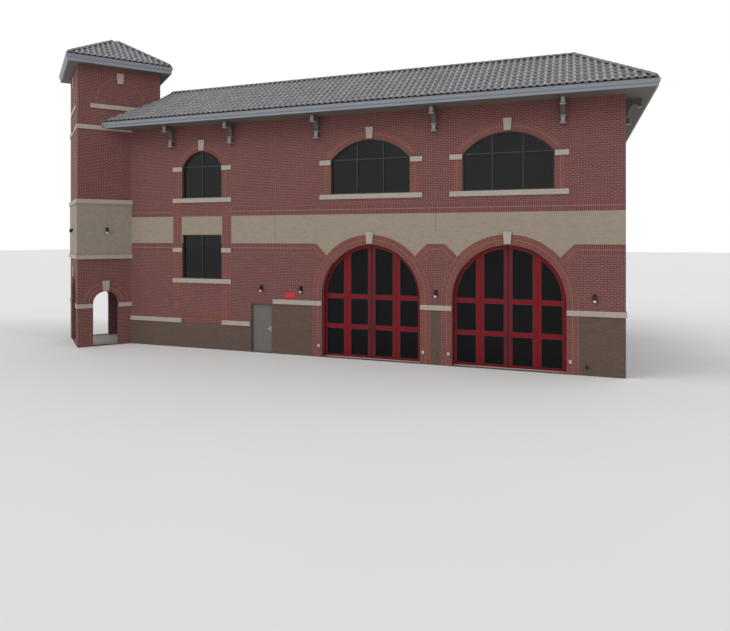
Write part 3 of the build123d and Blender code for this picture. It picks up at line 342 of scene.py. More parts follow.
def window_list():
    """Every window with its mullions and the heights of its transoms."""
    street = WALLS["street"]
    windows = [Window(WALLS["front"], arched(u, 3.44, 0.8), 2, (SPRING,)) for u in BAY_CENTRES]
    windows.append(Window(WALLS["front"], arched(HALL_CENTRE, 2.1, 0.7), 1, (SPRING,)))
    windows.append(Window(WALLS["front"], flat(HALL_CENTRE, 2.1, 3.17, 5.17), 1, ()))
    for distance in (3.45, 10.17, 12.425, 14.68, 16.935):
        windows.append(Window(street, arched(STREET_LENGTH - distance), 0, (SPRING,)))
    for distance in (3.5, 4.96, 6.42):
        windows.append(Window(street, flat(STREET_LENGTH - distance, 1.0, 0.1, LOW_HEAD), 0, (TRANSOM,)))
    for n in range(4):
        windows.append(Window(WALLS["wing"], arched(1.5104 + n * 2.29), 0, (SPRING,)))
    windows.append(Window(WALLS["rear"], arched(10.37, 1.28), 0, (SPRING,)))
    windows.append(Window(WALLS["rear"], flat(10.37, 1.07, 0.4, REAR_HEAD), 0, (TRANSOM,)))
    for u in (5.2, 11.0, 16.8):
        windows.append(Window(WALLS["east"], arched(u, 1.28), 0, (SPRING,)))
    windows.append(Window(WALLS["room_north"], flat(6.4198, 1.07, 0.4, REAR_HEAD), 0, (TRANSOM,)))
    windows.append(Window(WALLS["room_west"], flat(1.07, 0.8, 1.33, REAR_HEAD), 0, ()))
    windows.append(Window(WALLS["bump_north"], flat(0.7, 0.6, 1.33, LOW_HEAD), 0, ()))
    windows.append(Window(WALLS["bump_north"], flat(2.3, 1.5, 1.33, LOW_HEAD), 1, ()))
    windows.append(Window(WALLS["bump_west"], flat(1.9, 1.9, 0.5, LOW_HEAD), 2, (TRANSOM,)))
    for u in (5.0, 7.6, 10.2):
        windows.append(Window(WALLS["bump_west"], flat(u, 1.0, 0.5, LOW_HEAD), 0, (TRANSOM,)))
    windows.append(Window(WALLS["tower_inner"], flat(TOWER_SIDE / 2, 1.3, 0, 2.13), 1, ()))
    return windows


def arc_of(opening):
    """Radius and height of the centre of an opening's arch."""
    half = opening.width / 2
    radius = (half**2 + opening.rise**2) / (2 * opening.rise)
    return radius, opening.spring + opening.rise - radius


def outline(opening, inset=0.0, steps=20):
    """An opening's edge as (u, height) pairs, anticlockwise from its lower left corner."""
    half = opening.width / 2 - inset
    left, right = opening.centre - half, opening.centre + half
    bottom = opening.sill + inset
    if opening.rise == 0:
        top = opening.spring - inset
        return [(left, bottom), (right, bottom), (right, top), (left, top)]
    radius, centre = arc_of(opening)
    radius -= inset
    first = math.asin(math.sqrt(max(radius**2 - half**2, 0)) / radius)
    turns = [first + (math.pi - 2 * first) * n / steps for n in range(steps + 1)]
    arc = [(opening.centre + radius * math.cos(t), centre + radius * math.sin(t)) for t in turns]
    return [(left, bottom), (right, bottom)] + arc


def top_at(opening, u, inset):
    """The height of an opening's inner edge above a place along it."""
    if opening.rise == 0:
        return opening.spring - inset
    radius, centre = arc_of(opening)
    return centre + math.sqrt((radius - inset) ** 2 - (u - opening.centre) ** 2)


# Meshes
def linked(name, data):
    """A new object of the scene that shows the given data."""
    made = bpy.data.objects.new(name, data)
    bpy.context.scene.collection.objects.link(made)
    return made


class Mesher:
    """Collects the faces of one piece."""

    def __init__(self):
        self.points = []
        self.faces = []

    def add(self, points, faces):
        first = len(self.points)
        self.points += [Vector(p) for p in points]
        self.faces += [[first + n for n in face] for face in faces]

    def ring(self, outer, inner, back):
        """A flat ring between two closed edges, pushed back by a vector."""
        count = len(outer)
        points = outer + inner + [p + back for p in outer] + [p + back for p in inner]
        faces = []
        for n in range(count):
            m = (n + 1) % count
            faces.append([n, m, count + m, count + n])
            faces.append([2 * count + m, 2 * count + n, 3 * count + n, 3 * count + m])
            faces.append([m, n, 2 * count + n, 2 * count + m])
            faces.append([count + n, count + m, 3 * count + m, 3 * count + n])
        self.add(points, faces)

    def prism(self, edge, back):
        """A flat convex outline, pushed back by a vector."""
        count = len(edge)
        faces = [list(range(count)), list(range(2 * count - 1, count - 1, -1))]
        for n in range(count):
            m = (n + 1) % count
            faces.append([m, n, count + n, count + m])
        self.add(edge + [p + back for p in edge], faces)

    def block(self, wall, left, right, bottom, top, inner, outer):
        """A block on a wall, from its edges."""
        corners = ((left, bottom), (right, bottom), (right, top), (left, top))
        self.prism([wall.at(u, h, outer) for u, h in corners], wall.out * (inner - outer))

    def turned(self, centre, axis, profile, sides=16):
        """A closed round piece: profile is (distance along the axis, radius) pairs, ends included."""
        axis = axis.normalized()
        side = axis.orthogonal().normalized()
        other = axis.cross(side)
        points = []
        for along, radius in profile:
            for n in range(sides):
                turn = 2 * math.pi * n / sides
                ray = side * math.cos(turn) + other * math.sin(turn)
                points.append(centre + axis * along + ray * radius)
        faces = [list(range(sides - 1, -1, -1))]
        for row in range(len(profile) - 1):
            for n in range(sides):
                m = (n + 1) % sides
                low, high = row * sides, (row + 1) * sides
                faces.append([low + n, low + m, high + m, high + n])
        last = (len(profile) - 1) * sides
        faces.append(list(range(last, last + sides)))
        self.add(points, faces)

    def box(self, low, high):
        """A block from its lowest and highest corners."""
        corners = ((low[0], low[1]), (low[0], high[1]), (high[0], high[1]), (high[0], low[1]))
        self.prism([Vector((x, y, low[2])) for x, y in corners], Vector((0, 0, high[2] - low[2])))

    def made(self, name, material, bevel=0.0, relief=()):
        """The finished object, its faces turned outwards, with a stored relief where it is given."""
        mesh = bpy.data.meshes.new(name)
        mesh.from_pydata(self.points, [], self.faces)
        if relief:
            mesh.attributes.new("relief", "FLOAT", "POINT").data.foreach_set("value", relief)
        mesh.materials.append(material)
        whole = bmesh.new()
        whole.from_mesh(mesh)
        bmesh.ops.recalc_face_normals(whole, faces=whole.faces)
        if bevel:
            sharp = [e for e in whole.edges if e.is_manifold and e.calc_face_angle(0) > 0.6]
            bmesh.ops.bevel(whole, geom=sharp, offset=bevel, segments=1, affect="EDGES")
        whole.to_mesh(mesh)
        whole.free()
        return linked(name, mesh)


def settle(piece, body="building", nodes=()):
    """Rides a finished piece on its body and hides the nodes that it takes the place of."""
    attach(piece, body)
    if nodes:
        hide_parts(*nodes)


# Node trees
class Nodes:
    """A node tree, built from short calls. Values are numbers, colours or sockets."""

    def __init__(self, tree):
        self.tree = tree

    def put(self, value, socket):
        if isinstance(value, bpy.types.NodeSocket):
            self.tree.links.new(value, socket)
        elif isinstance(value, tuple) and socket.type == "RGBA":
            socket.default_value = (*value, 1)
        else:
            socket.default_value = value

    def node(self, kind, inputs=(), **settings):
        made = self.tree.nodes.new(kind)
        for name, value in settings.items():
            setattr(made, name, value)
        for name, value in dict(inputs).items():
            self.put(value, made.inputs[name])
        return made

    def math(self, operation, *values):
        return self.node("ShaderNodeMath", enumerate(values), operation=operation).outputs[0]

    def plus(self, first, second):
        return self.math("ADD", first, second)

    def minus(self, first, second):
        return self.math("SUBTRACT", first, second)

    def times(self, first, second):
        return self.math("MULTIPLY", first, second)

    def over(self, first, second):
        return self.math("DIVIDE", first, second)

    def least(self, first, second):
        return self.math("MINIMUM", first, second)

    def above(self, value, edge):
        return self.math("GREATER_THAN", value, edge)

    def below(self, value, edge):
        return self.math("LESS_THAN", value, edge)

    def inside(self, value, low, high):
        return self.times(self.above(value, low), self.below(value, high))

    def apart(self, first, second):
        """The distance between two values."""
        return self.math("ABSOLUTE", self.minus(first, second))


# Finishes
class Finish(Nodes):
    """A material."""

    def __init__(self, name, roughness=0.8, metallic=0.0):
        self.material = bpy.data.materials.new(name)
        self.material.use_nodes = True
        super().__init__(self.material.node_tree)
        self.shader = self.tree.nodes["Principled BSDF"]
        self.shader.inputs["Roughness"].default_value = roughness
        self.shader.inputs["Metallic"].default_value = metallic

    def mix(self, share, first, second):
        made = self.node("ShaderNodeMix", data_type="RGBA")
        self.put(share, made.inputs["Factor"])
        self.put(first, made.inputs[6])
        self.put(second, made.inputs[7])
        return made.outputs[2]

    def choose(self, share, first, second):
        """The first value where share is 0, the second where it is 1."""
        return self.node("ShaderNodeMix", {0: share, 2: first, 3: second}).outputs[0]

    def place(self):
        """x, y and height of the point, in metres."""
        at = self.node("ShaderNodeTexCoord").outputs["Object"]
        parts = self.node("ShaderNodeSeparateXYZ", {"Vector": at}).outputs
        return parts[0], parts[1], parts[2]

    def facing(self):
        true = self.node("ShaderNodeNewGeometry").outputs["True Normal"]
        parts = self.node("ShaderNodeSeparateXYZ", {"Vector": true}).outputs
        return parts[0], parts[1], parts[2]

    def wall_place(self):
        """u along the wall and height, with x and y on level faces."""
        x, y, z = self.place()
        nx, ny, nz = self.facing()
        u = self.minus(self.times(y, nx), self.times(x, ny))
        level = self.above(self.math("ABSOLUTE", nz), 0.7)
        return self.plus(u, self.times(level, x)), self.choose(level, z, y)

    def noise(self, scale, detail=2.0, vector=None):
        inputs = {"Scale": scale, "Detail": detail}
        inputs["Vector"] = vector or self.node("ShaderNodeTexCoord").outputs["Object"]
        return self.node("ShaderNodeTexNoise", inputs).outputs["Fac"]

    def vector(self, x, y, z=0.0):
        return self.node("ShaderNodeCombineXYZ", {0: x, 1: y, 2: z}).outputs[0]

    def shade(self, base, amount, scale):
        """The colour, a little lighter and darker in patches."""
        return self.mix(self.noise(scale, 4.0), shaded(base, 1 - amount), shaded(base, 1 + amount))

    def scaled(self, base, share):
        made = self.node("ShaderNodeVectorMath", operation="SCALE")
        self.put(base, made.inputs[0])
        made.inputs["Scale"].default_value = share
        return made.outputs[0]

    def bump(self, height, distance=0.004, strength=0.6):
        made = self.node("ShaderNodeBump", {"Height": height, "Distance": distance, "Strength": strength})
        self.put(made.outputs[0], self.shader.inputs["Normal"])

    def done(self, base):
        self.put(base, self.shader.inputs["Base Color"])
        return self.material


def brick_pattern(finish, u, v, width, height, joint, offset=0.5):
    """Each brick's own shade, and where the joints are."""
    made = finish.node(
        "ShaderNodeTexBrick",
        {
            "Vector": finish.vector(u, v),
            "Color1": (0.0, 0.0, 0.0),
            "Color2": (1.0, 1.0, 1.0),
            "Mortar": (0.5, 0.5, 0.5),
            "Scale": 1.0,
            "Mortar Size": joint / 2,
            "Mortar Smooth": 0.1,
            "Brick Width": width,
            "Row Height": height,
        },
        offset=offset,
    )
    return made.outputs["Color"], made.outputs["Fac"]


def brickwork(name, base_top, band_top=BAND_TOP, bays=False, street=False):
    """Red brick with brown below a height, the beige band and the soldier courses beside it.

    Beside the bay doors the band and its soldiers run down at 45 degrees. The brown stops short of
    these doors and of the low street windows, and the band is broken by the hall's brick strips.
    """
    colours, bricks = bpy.context.scene.station_colours, bpy.context.scene.station_bricks
    finish = Finish(name, 0.86)
    u, v = finish.wall_place()
    x, y, z = finish.place()
    tone, joints = brick_pattern(finish, u, v, bricks.stretcher, bricks.course, bricks.joint)
    low, high = APRON + BAND_BOTTOM, APRON + band_top
    soldier_low = low - SOLDIERS
    middles = (low - SOLDIERS / 2, high + SOLDIERS / 2)
    upright_tone, upright_joints = brick_pattern(
        finish, finish.minus(v, low), u, bricks.stretcher, bricks.course, bricks.joint, offset=0.0
    )
    if bays:
        away = finish.least(*(finish.apart(x, FRONT_CORNER.x + c) for c in BAY_CENTRES))
        low = finish.least(low, finish.plus(away, APRON + BAND_LEG))
        soldier_low = finish.least(soldier_low, finish.plus(away, APRON + SOLDIER_LEG))
    beige = finish.inside(z, low, high)
    soldiers = finish.plus(finish.inside(z, soldier_low, low), finish.inside(z, high, high + SOLDIERS))
    brown = finish.below(z, APRON + base_top)
    if bays:
        brown = finish.times(brown, finish.above(away, BAY_BROWN_EDGE))
        hall = finish.apart(x, FRONT_CORNER.x + HALL_CENTRE)
        beige = finish.times(beige, finish.minus(1.0, finish.inside(hall, HALL_INNER, HALL_OUTER)))
        soldiers = finish.times(soldiers, finish.minus(1.0, finish.below(hall, HALL_OUTER)))
    if street:
        east = finish.times(finish.minus(x, FRONT_CORNER.x), STREET_UP.x)
        north = finish.times(finish.minus(y, FRONT_CORNER.y), STREET_UP.y)
        beside = finish.apart(finish.plus(east, north), LOW_WINDOWS)
        brown = finish.times(brown, finish.above(beside, LOW_WINDOWS_HALF))
    half_line = 0.009
    lines = [finish.inside(z, middle - half_line, middle + half_line) for middle in middles]
    line = finish.times(soldiers, finish.math("MAXIMUM", *lines))
    upright_joints = finish.math("MAXIMUM", upright_joints, line)
    tone = finish.mix(soldiers, tone, upright_tone)
    joints = finish.mix(soldiers, joints, upright_joints)

    def faces(base, dark, light):
        return finish.mix(tone, shaded(base, dark), shaded(base, light))

    body = finish.mix(brown, faces(colours.red_brick, 0.88, 1.1), faces(colours.brown_brick, 0.9, 1.1))
    body = finish.mix(beige, body, faces(colours.beige_brick, 0.94, 1.06))
    joint = finish.mix(beige, tuple(colours.mortar), shaded(colours.beige_brick, 0.84))
    joint = finish.mix(brown, joint, shaded(colours.brown_brick, 1.5))
    body = finish.mix(joints, body, joint)
    stain = finish.noise(0.35, 5.0)
    body = finish.mix(finish.times(stain, 0.22), body, finish.scaled(body, 0.6))
    finish.bump(finish.minus(1.0, joints))
    return finish.done(body)


def herringbone(name):
    """Beige bricks laid in herringbone, three times as long as they are high, turned by 45 degrees."""
    colours, bricks = bpy.context.scene.station_colours, bpy.context.scene.station_bricks
    finish = Finish(name, 0.86)
    u, v = finish.wall_place()
    size = bricks.course * math.sqrt(2)
    a, b = finish.over(finish.plus(u, v), size), finish.over(finish.minus(v, u), size)
    i, j = finish.math("FLOOR", a), finish.math("FLOOR", b)
    within_a, within_b = finish.minus(a, i), finish.minus(b, j)
    step = finish.math("FLOORED_MODULO", finish.minus(i, j), 6.0)
    across = finish.below(step, 2.5)

    def nearest(long_side, short_side):
        """The distance from a brick's nearest edge."""
        ends = finish.least(long_side, finish.minus(3.0, long_side))
        return finish.least(ends, finish.least(short_side, finish.minus(1.0, short_side)))

    back = finish.minus(5.0, step)
    flat_edge = nearest(finish.plus(step, within_a), within_b)
    upright_edge = nearest(finish.plus(back, within_b), within_a)
    edge = finish.choose(across, upright_edge, flat_edge)
    start_a = finish.choose(across, i, finish.minus(i, step))
    start_b = finish.choose(across, finish.minus(j, back), j)
    start = finish.vector(start_a, start_b)
    tone = finish.node("ShaderNodeTexWhiteNoise", {"Vector": start}).outputs["Value"]
    joints = finish.below(edge, bricks.joint / bricks.course / 2)
    body = finish.mix(tone, shaded(colours.block, 0.92), shaded(colours.block, 1.06))
    body = finish.mix(joints, body, shaded(colours.block, 0.74))
    finish.bump(finish.minus(1.0, joints))
    return finish.done(body)


def toned(name, base, low, high, roughness=0.86, scale=30.0, hollow_shade=1.0):
    """A finish for laid pieces, each with its own stored random tone, and darker where it is hollow: painted
    shade in the hollows, with some dirt.
    """
    finish = Finish(name, roughness)
    tone = finish.node("ShaderNodeAttribute", attribute_name="tone").outputs["Fac"]
    body = finish.mix(tone, shaded(base, low), shaded(base, high))
    # Painted shade: the pans of the tiles are darkened by their stored relief, for the shade that falls in
    # them, with some dirt.
    if hollow_shade < 1.0:
        relief = finish.node("ShaderNodeAttribute", attribute_name="relief").outputs["Fac"]
        body = finish.mix(relief, finish.scaled(body, hollow_shade), body)
    grain = finish.noise(scale, 4.0)
    body = finish.mix(finish.times(grain, 0.35), body, finish.scaled(body, 0.6))
    finish.bump(grain, 0.002, 0.4)
    return finish.done(body)


def cast_stone():
    """Pale stone with fine specks, streaks of rain and a joint every 0.81 m."""
    finish = Finish("cast_stone", 0.8)
    u, v = finish.wall_place()
    _, joints = brick_pattern(finish, u, v, 0.81, 4.0, 0.008)
    base = finish.shade(tuple(bpy.context.scene.station_colours.stone), 0.08, 3.0)
    speckle = finish.noise(220.0, 2.0)
    base = finish.mix(finish.times(speckle, 0.25), base, finish.scaled(base, 0.7))
    streaks = finish.noise(1.0, 3.0, finish.vector(finish.times(u, 9.0), v))
    base = finish.mix(finish.times(streaks, 0.3), base, finish.scaled(base, 0.72))
    base = finish.mix(joints, base, finish.scaled(base, 0.55))
    finish.bump(speckle, 0.001, 0.3)
    return finish.done(base)


def plain(name, base, roughness=0.6, metallic=0.0, amount=0.06, scale=4.0, grain=0.0, level=0.5):
    """A painted or bare surface with soft patches, and fine grain where asked."""
    finish = Finish(name, roughness, metallic)
    finish.shader.inputs["Specular IOR Level"].default_value = level
    body = finish.shade(tuple(base), amount, scale)
    if grain:
        finish.bump(finish.noise(grain, 3.0), 0.002, 0.3)
    return finish.done(body)


def eave_board():
    """Boards with vent slots on the underside, roof membrane on top."""
    colours = bpy.context.scene.station_colours
    finish = Finish("soffit_boards", 0.7)
    x, y, _ = finish.place()
    _, _, up = finish.facing()
    _, gaps = brick_pattern(finish, x, y, 1.22, 0.305, 0.006)
    board = finish.mix(gaps, finish.shade(tuple(colours.soffit), 0.05, 1.0), linear(70, 64, 58))
    top = finish.shade(linear(186, 186, 182), 0.07, 0.4)
    finish.bump(finish.minus(1.0, gaps), 0.003, 0.5)
    return finish.done(finish.mix(finish.above(up, 0.5), board, top))


def pane(name, base, level):
    """Dark glass: level is how much it mirrors."""
    finish = Finish(name, 0.03)
    finish.shader.inputs["Specular IOR Level"].default_value = level
    finish.shader.inputs["Alpha"].default_value = 0.9
    return finish.done(finish.shade(base, 0.12, 0.6))


def make_finishes():
    """Every finish, by name."""
    colours = bpy.context.scene.station_colours
    metal = tuple(colours.metal)
    return {
        "brick_front_west": brickwork("brick_front_west", LOW_BASE, bays=True),
        "brick_front_east": brickwork("brick_front_east", HIGH_BASE, bays=True),
        "brick_high_base": brickwork("brick_high_base", HIGH_BASE),
        "brick_low_base": brickwork("brick_low_base", LOW_BASE),
        "brick_street": brickwork("brick_street", LOW_BASE, street=True),
        "brick_tower": brickwork("brick_tower", -9.0, BAND_BOTTOM),
        "brick_room": brickwork("brick_room", LOW_BASE, 7.0),
        "herringbone": herringbone("beige_herringbone"),
        "arch_brick": toned("arch_brick", tuple(colours.arch), 0.9, 1.15),
        "joint_bed": plain("mortar_bed", tuple(colours.mortar), 0.9, amount=0.1, scale=8.0, grain=80.0),
        "cast_stone": cast_stone(),
        # The clay tiles get painted shade, with some dirt, in their pans.
        "clay_tile": toned("clay_tile", tuple(colours.tile), 0.86, 1.12, 0.6, 14.0, hollow_shade=0.36),
        "crest_tile": toned("crest_tile", shaded(colours.tile, 0.5), 0.8, 1.15, 0.6, 14.0),
        "underlay": plain("roof_underlay", linear(62, 58, 57), 0.9, amount=0.1, grain=30.0),
        "membrane": plain("roof_membrane", linear(186, 186, 182), 0.8, amount=0.08, scale=0.5, grain=60.0),
        "soffit": eave_board(),
        "gutter": plain("painted_gutter", metal, 0.5, 0.1, 0.04, 0.8),
        "cap": plain("metal_cap", shaded(metal, 0.9), 0.45, 0.3, 0.05, 0.6),
        "bronze": plain("dark_bronze", tuple(colours.bronze), 0.4, 0.5, 0.08, 3.0),
        "glass": pane("dark_glass", tuple(colours.glass), 0.28),
        "door_glass": pane("door_glass", shaded(colours.glass, 0.8), 0.14),
        "red_paint": plain("red_door_paint", tuple(colours.red_paint), 0.4, 0.0, 0.06, 1.5, level=0.25),
        "grey_paint": plain("grey_door_paint", tuple(colours.grey_paint), 0.5, 0.0, 0.05, 2.0),
        "pale_paint": plain("pale_door_paint", linear(196, 186, 168), 0.5, 0.0, 0.05, 2.0),
        "timber": plain("bracket_finish", tuple(colours.timber), 0.7, 0.0, 0.14, 9.0, 40.0),
        "timber_light": plain("bracket_face", linear(142, 138, 134), 0.6, 0.0, 0.1, 9.0, 40.0),
        "concrete": plain("floor_concrete", linear(160, 157, 150), 0.85, 0.0, 0.08, 0.8, 25.0),
        "black": plain("black_metal", linear(28, 28, 30), 0.42, 0.4, 0.1, 6.0),
        "white": plain("white_metal", linear(226, 226, 222), 0.4, 0.0, 0.03, 4.0),
        "lens": plain("lamp_lens", linear(212, 208, 196), 0.2, 0.0, 0.03, 8.0),
        "plate": plain("red_plate", linear(190, 26, 30), 0.35, 0.0, 0.05, 5.0),
        "brass": plain("brass", linear(150, 122, 70), 0.35, 0.8, 0.1, 20.0),
        "steel": plain("bright_steel", linear(190, 186, 182), 0.35, 0.3, 0.05, 8.0),
        "seal": plain("rubber_seal", linear(22, 22, 23), 0.7, 0.0, 0.1, 9.0),
    }


NODE_FINISHES = {
    "brick_front_west": ("front_wall_hall", "walls_over_doors"),
    "brick_front_east": ("front_wall_bays",),
    "brick_high_base": ("east_wall", "annex_walls"),
    "brick_low_base": (
        "rear_wall_east", "rear_wall_beside_doors", "return_wall", "wing_north_wall", "bump_walls",
        "front_footing",
    ),
    "brick_street": ("street_wall",),
    "brick_room": ("room_walls",),
    "brick_tower": ("tower_wall_front", "tower_wall_inner", "tower_wall_street", "tower_wall_corner"),
    "herringbone": ("tower_stucco",),
    "cast_stone": ("sills_and_imposts", "keystones", "stone_base_band", "tower_stone"),
    "underlay": (
        "roof_east", "roof_rear", "roof_return", "roof_wing", "roof_street", "roof_front", "roof_saddle",
        "tower_roof", "bump_roof",
    ),
    "membrane": ("roof_upstand", "flat_roofs"),
    "soffit": ("roof_deck_block", "roof_deck_wing", "soffits"),
    "cap": ("parapet_caps",),
    "glass": ("front_glass", "rear_glass", "street_glass"),
    "door_glass": ("bay_door_glass",),
    "red_paint": ("bay_door_east", "bay_door_west"),
    "grey_paint": ("man_door", "rear_door_west", "door_frames"),
    "pale_paint": ("rear_door_east",),
    "timber": ("eave_brackets",),
    "concrete": (
        "ground_floor", "raft", "floor_edge_wall", "outer_floors", "upper_floor_block", "upper_floor_wing",
    ),
}
FINISHES = {}


# Geometry Nodes
class Tree(Nodes):
    """A Geometry Nodes tree with named inputs. It ends as one plain, shaded mesh."""

    SHARED = {
        "Geometry": "NodeSocketGeometry",
        "Piece": "NodeSocketObject",
        "Material": "NodeSocketMaterial",
        "Seed": "NodeSocketInt",
    }

    def __init__(self, name, sizes=()):
        super().__init__(bpy.data.node_groups.new(name, "GeometryNodeTree"))
        sockets = self.tree.interface
        sockets.new_socket("Geometry", in_out="OUTPUT", socket_type="NodeSocketGeometry")
        self.ids = {}
        for label, kind in {**self.SHARED, **dict.fromkeys(sizes, "NodeSocketFloat")}.items():
            self.ids[label] = sockets.new_socket(label, in_out="INPUT", socket_type=kind).identifier
        self.given = self.tree.nodes.new("NodeGroupInput").outputs
        self.result = self.tree.nodes.new("NodeGroupOutput").inputs[0]

    def finish(self, points, **turned_and_sized):
        """Sets the given piece on each point and gives every copy a shade of its own."""
        piece = self.node("GeometryNodeObjectInfo", {"Object": self.given["Piece"]}).outputs["Geometry"]
        inputs = {"Points": points, "Instance": piece, **turned_and_sized}
        copies = self.node("GeometryNodeInstanceOnPoints", inputs).outputs[0]
        inputs = {"Seed": self.given["Seed"]}
        shade = self.node("FunctionNodeRandomValue", inputs, data_type="FLOAT").outputs[1]
        toned_copies = self.node(
            "GeometryNodeStoreNamedAttribute",
            {"Geometry": copies, "Name": "tone", "Value": shade},
            data_type="FLOAT",
            domain="INSTANCE",
        ).outputs[0]
        real = self.node("GeometryNodeRealizeInstances", {"Geometry": toned_copies}).outputs[0]
        inputs = {"Geometry": real, "Material": self.given["Material"]}
        self.put(self.node("GeometryNodeSetMaterial", inputs).outputs[0], self.result)

    def run(self, mesh, values):
        """Runs the tree on a mesh and returns the plain result."""
        holder = linked("holder", mesh)
        modifier = holder.modifiers.new("laid", "NODES")
        modifier.node_group = self.tree
        for label, value in values.items():
            modifier[self.ids[label]] = value
        ready = holder.evaluated_get(bpy.context.evaluated_depsgraph_get())
        result = bpy.data.meshes.new_from_object(ready)
        holder.modifiers.clear()
        bpy.data.objects.remove(holder)
        return result


def placing_tree():
    """Pieces on given points, turned by the vectors stored there and sized by the stored size."""
    made = Tree("Laid pieces")

    def stored(name):
        given = made.node("GeometryNodeInputNamedAttribute", {"Name": name}, data_type="FLOAT_VECTOR")
        return given.outputs["Attribute"]

    first = made.node("FunctionNodeAlignRotationToVector", {"Vector": stored("along")}, axis="X").outputs[0]
    inputs = {"Rotation": first, "Vector": stored("out")}
    turned = made.node("FunctionNodeAlignRotationToVector", inputs, axis="Z", pivot_axis="X").outputs[0]
    made.finish(made.given["Geometry"], Rotation=turned, Scale=stored("size"))
    return made


def field_tree():
    """Rows and columns of one piece over a rectangle."""
    made = Tree("Tile field", ("Width", "Height", "Column", "Row"))
    given = made.given
    columns = made.math("CEIL", made.over(given["Width"], given["Column"]))
    rows = made.math("CEIL", made.over(given["Height"], given["Row"]))
    wide = made.times(made.minus(columns, 1.0), given["Column"])
    high = made.times(made.minus(rows, 1.0), given["Row"])
    inputs = {"Size X": wide, "Size Y": high, "Vertices X": columns, "Vertices Y": rows}
    grid = made.node("GeometryNodeMeshGrid", inputs).outputs[0]
    middle = made.node("ShaderNodeCombineXYZ", {0: made.over(wide, 2.0), 1: made.over(high, 2.0)}).outputs[0]
    made.finish(made.node("GeometryNodeTransform", {"Geometry": grid, "Translation": middle}).outputs[0])
    return made


Spot = namedtuple("Spot", "at along out size")


def pattern(name, maker, relief=()):
    """An object that is only copied by the trees, taken out afterwards."""
    return maker.made(name, FINISHES["seal"], relief=relief)


def laid(name, copied, finish, spots, seed):
    """One piece made of copies of a pattern at the given spots. The pattern is taken out."""
    mesh = bpy.data.meshes.new(name + "_spots")
    mesh.from_pydata([spot.at for spot in spots], [], [])
    for field in ("along", "out", "size"):
        stored = mesh.attributes.new(field, "FLOAT_VECTOR", "POINT")
        stored.data.foreach_set("vector", [c for spot in spots for c in getattr(spot, field)])
    values = {"Piece": copied, "Material": FINISHES[finish], "Seed": seed}
    result = placing_tree().run(mesh, values)
    result.name = name
    bpy.data.objects.remove(copied)
    return linked(name, result)


# Roof tiles
def tile_pattern():
    """One S-shaped tile: a flat pan and a round barrel, its lower end lifted on the course below."""
    tiles = bpy.context.scene.station_tiles
    width, gauge, barrel = tiles.tile_width, tiles.tile_gauge, tiles.barrel
    profile = [
        (0.0, 0.30), (0.14, 0.08), (0.36, 0.0), (0.50, 0.22),
        (0.64, 0.80), (0.77, 1.0), (0.90, 0.78), (1.0, 0.30),
    ]
    maker = Mesher()
    nose, front_lift, back_lift, thick = -0.03, 0.030, 0.006, 0.022
    points = []
    for y, lift in ((nose, front_lift), (gauge, back_lift), (nose, front_lift - thick)):
        points += [(u * width, y, lift + h * barrel) for u, h in profile]
    count = len(profile)
    faces = []
    for n in range(count - 1):
        faces.append([n, n + 1, count + n + 1, count + n])
        faces.append([2 * count + n, 2 * count + n + 1, n + 1, n])
    maker.add(points, faces)
    # The barrel's heights are stored as relief, which paints shade, with some dirt, into the pans.
    heights = [h for _, h in profile]
    return pattern("tile_pattern", maker, heights + heights + [0.0] * count)


def cap_pattern():
    """A round hip tile one metre long and one metre wide, scaled where it is laid."""
    maker = Mesher()
    count = 7
    rows = []
    for x, lift in ((-0.5, 0.12), (0.5, 0.0)):
        for n in range(count):
            turn = math.pi * n / (count - 1)
            rows.append((x, 0.5 * math.cos(turn), lift + 0.5 * math.sin(turn) - 0.15))
    faces = [[n, n + 1, count + n + 1, count + n] for n in range(count - 1)]
    faces.append(list(range(count - 1, -1, -1)))
    faces.append(list(range(count, 2 * count)))
    faces.append([0, count, 2 * count - 1, count - 1])
    maker.add(rows, faces)
    return pattern("cap_pattern", maker, [0.75] * count + [0.3] * count)


def roof_lines():
    """Corners of the main roof's eave and crest, with the crest cut across behind the tower."""
    eave = [lifted(c, TILE_EDGE) for c in offset(FOOTPRINT, -OVERHANG)]
    high = TILE_EDGE + PITCH * (OVERHANG + RING_DEPTH)
    crest = offset(FOOTPRINT, RING_DEPTH)
    corner_depth = TOWER[1].y - FRONT_CORNER.y
    behind = TOWER[1] + TOWER_ALONG * (RING_DEPTH - corner_depth)
    street_side = meet(behind, TOWER_BACK, crest[4], crest[5] - crest[4])
    front_side = meet(behind, TOWER_BACK, crest[5], crest[0] - crest[5])
    saddle = high - PITCH * (RING_DEPTH - corner_depth)
    top = [lifted(c, high) for c in crest[:5] + [street_side, front_side]]
    return eave, top, [lifted(TOWER[1], saddle), lifted(TOWER[2], saddle)]


def tower_lines():
    """Corners of the tower's eave and its peak."""
    corners = [lifted(c, TOWER_TILE_EDGE) for c in offset(TOWER, -TOWER_OVERHANG)]
    return corners, lifted(TOWER_CENTRE, TOWER_TILE_EDGE + PITCH * (TOWER_SIDE / 2 + TOWER_OVERHANG))


def bump_lines():
    """Corners of the street bay's eave, and its ridge from the tower's side to the room's."""
    corners = [lifted(c, BUMP_TILE_EDGE) for c in bump_outline(BUMP_OVERHANG)]
    peak = lifted(corners[3] + STREET_UP * (BUMP_OUT + BUMP_OVERHANG), BUMP_RIDGE)
    return corners, (peak, lifted(WING_CORNER, BUMP_RIDGE), lifted(plan(ROOM_X, WING_Y), BUMP_RIDGE))


def level_point(start, end, height):
    """The point of a line at a height."""
    return start + (end - start) * ((height - start.z) / (end.z - start.z))


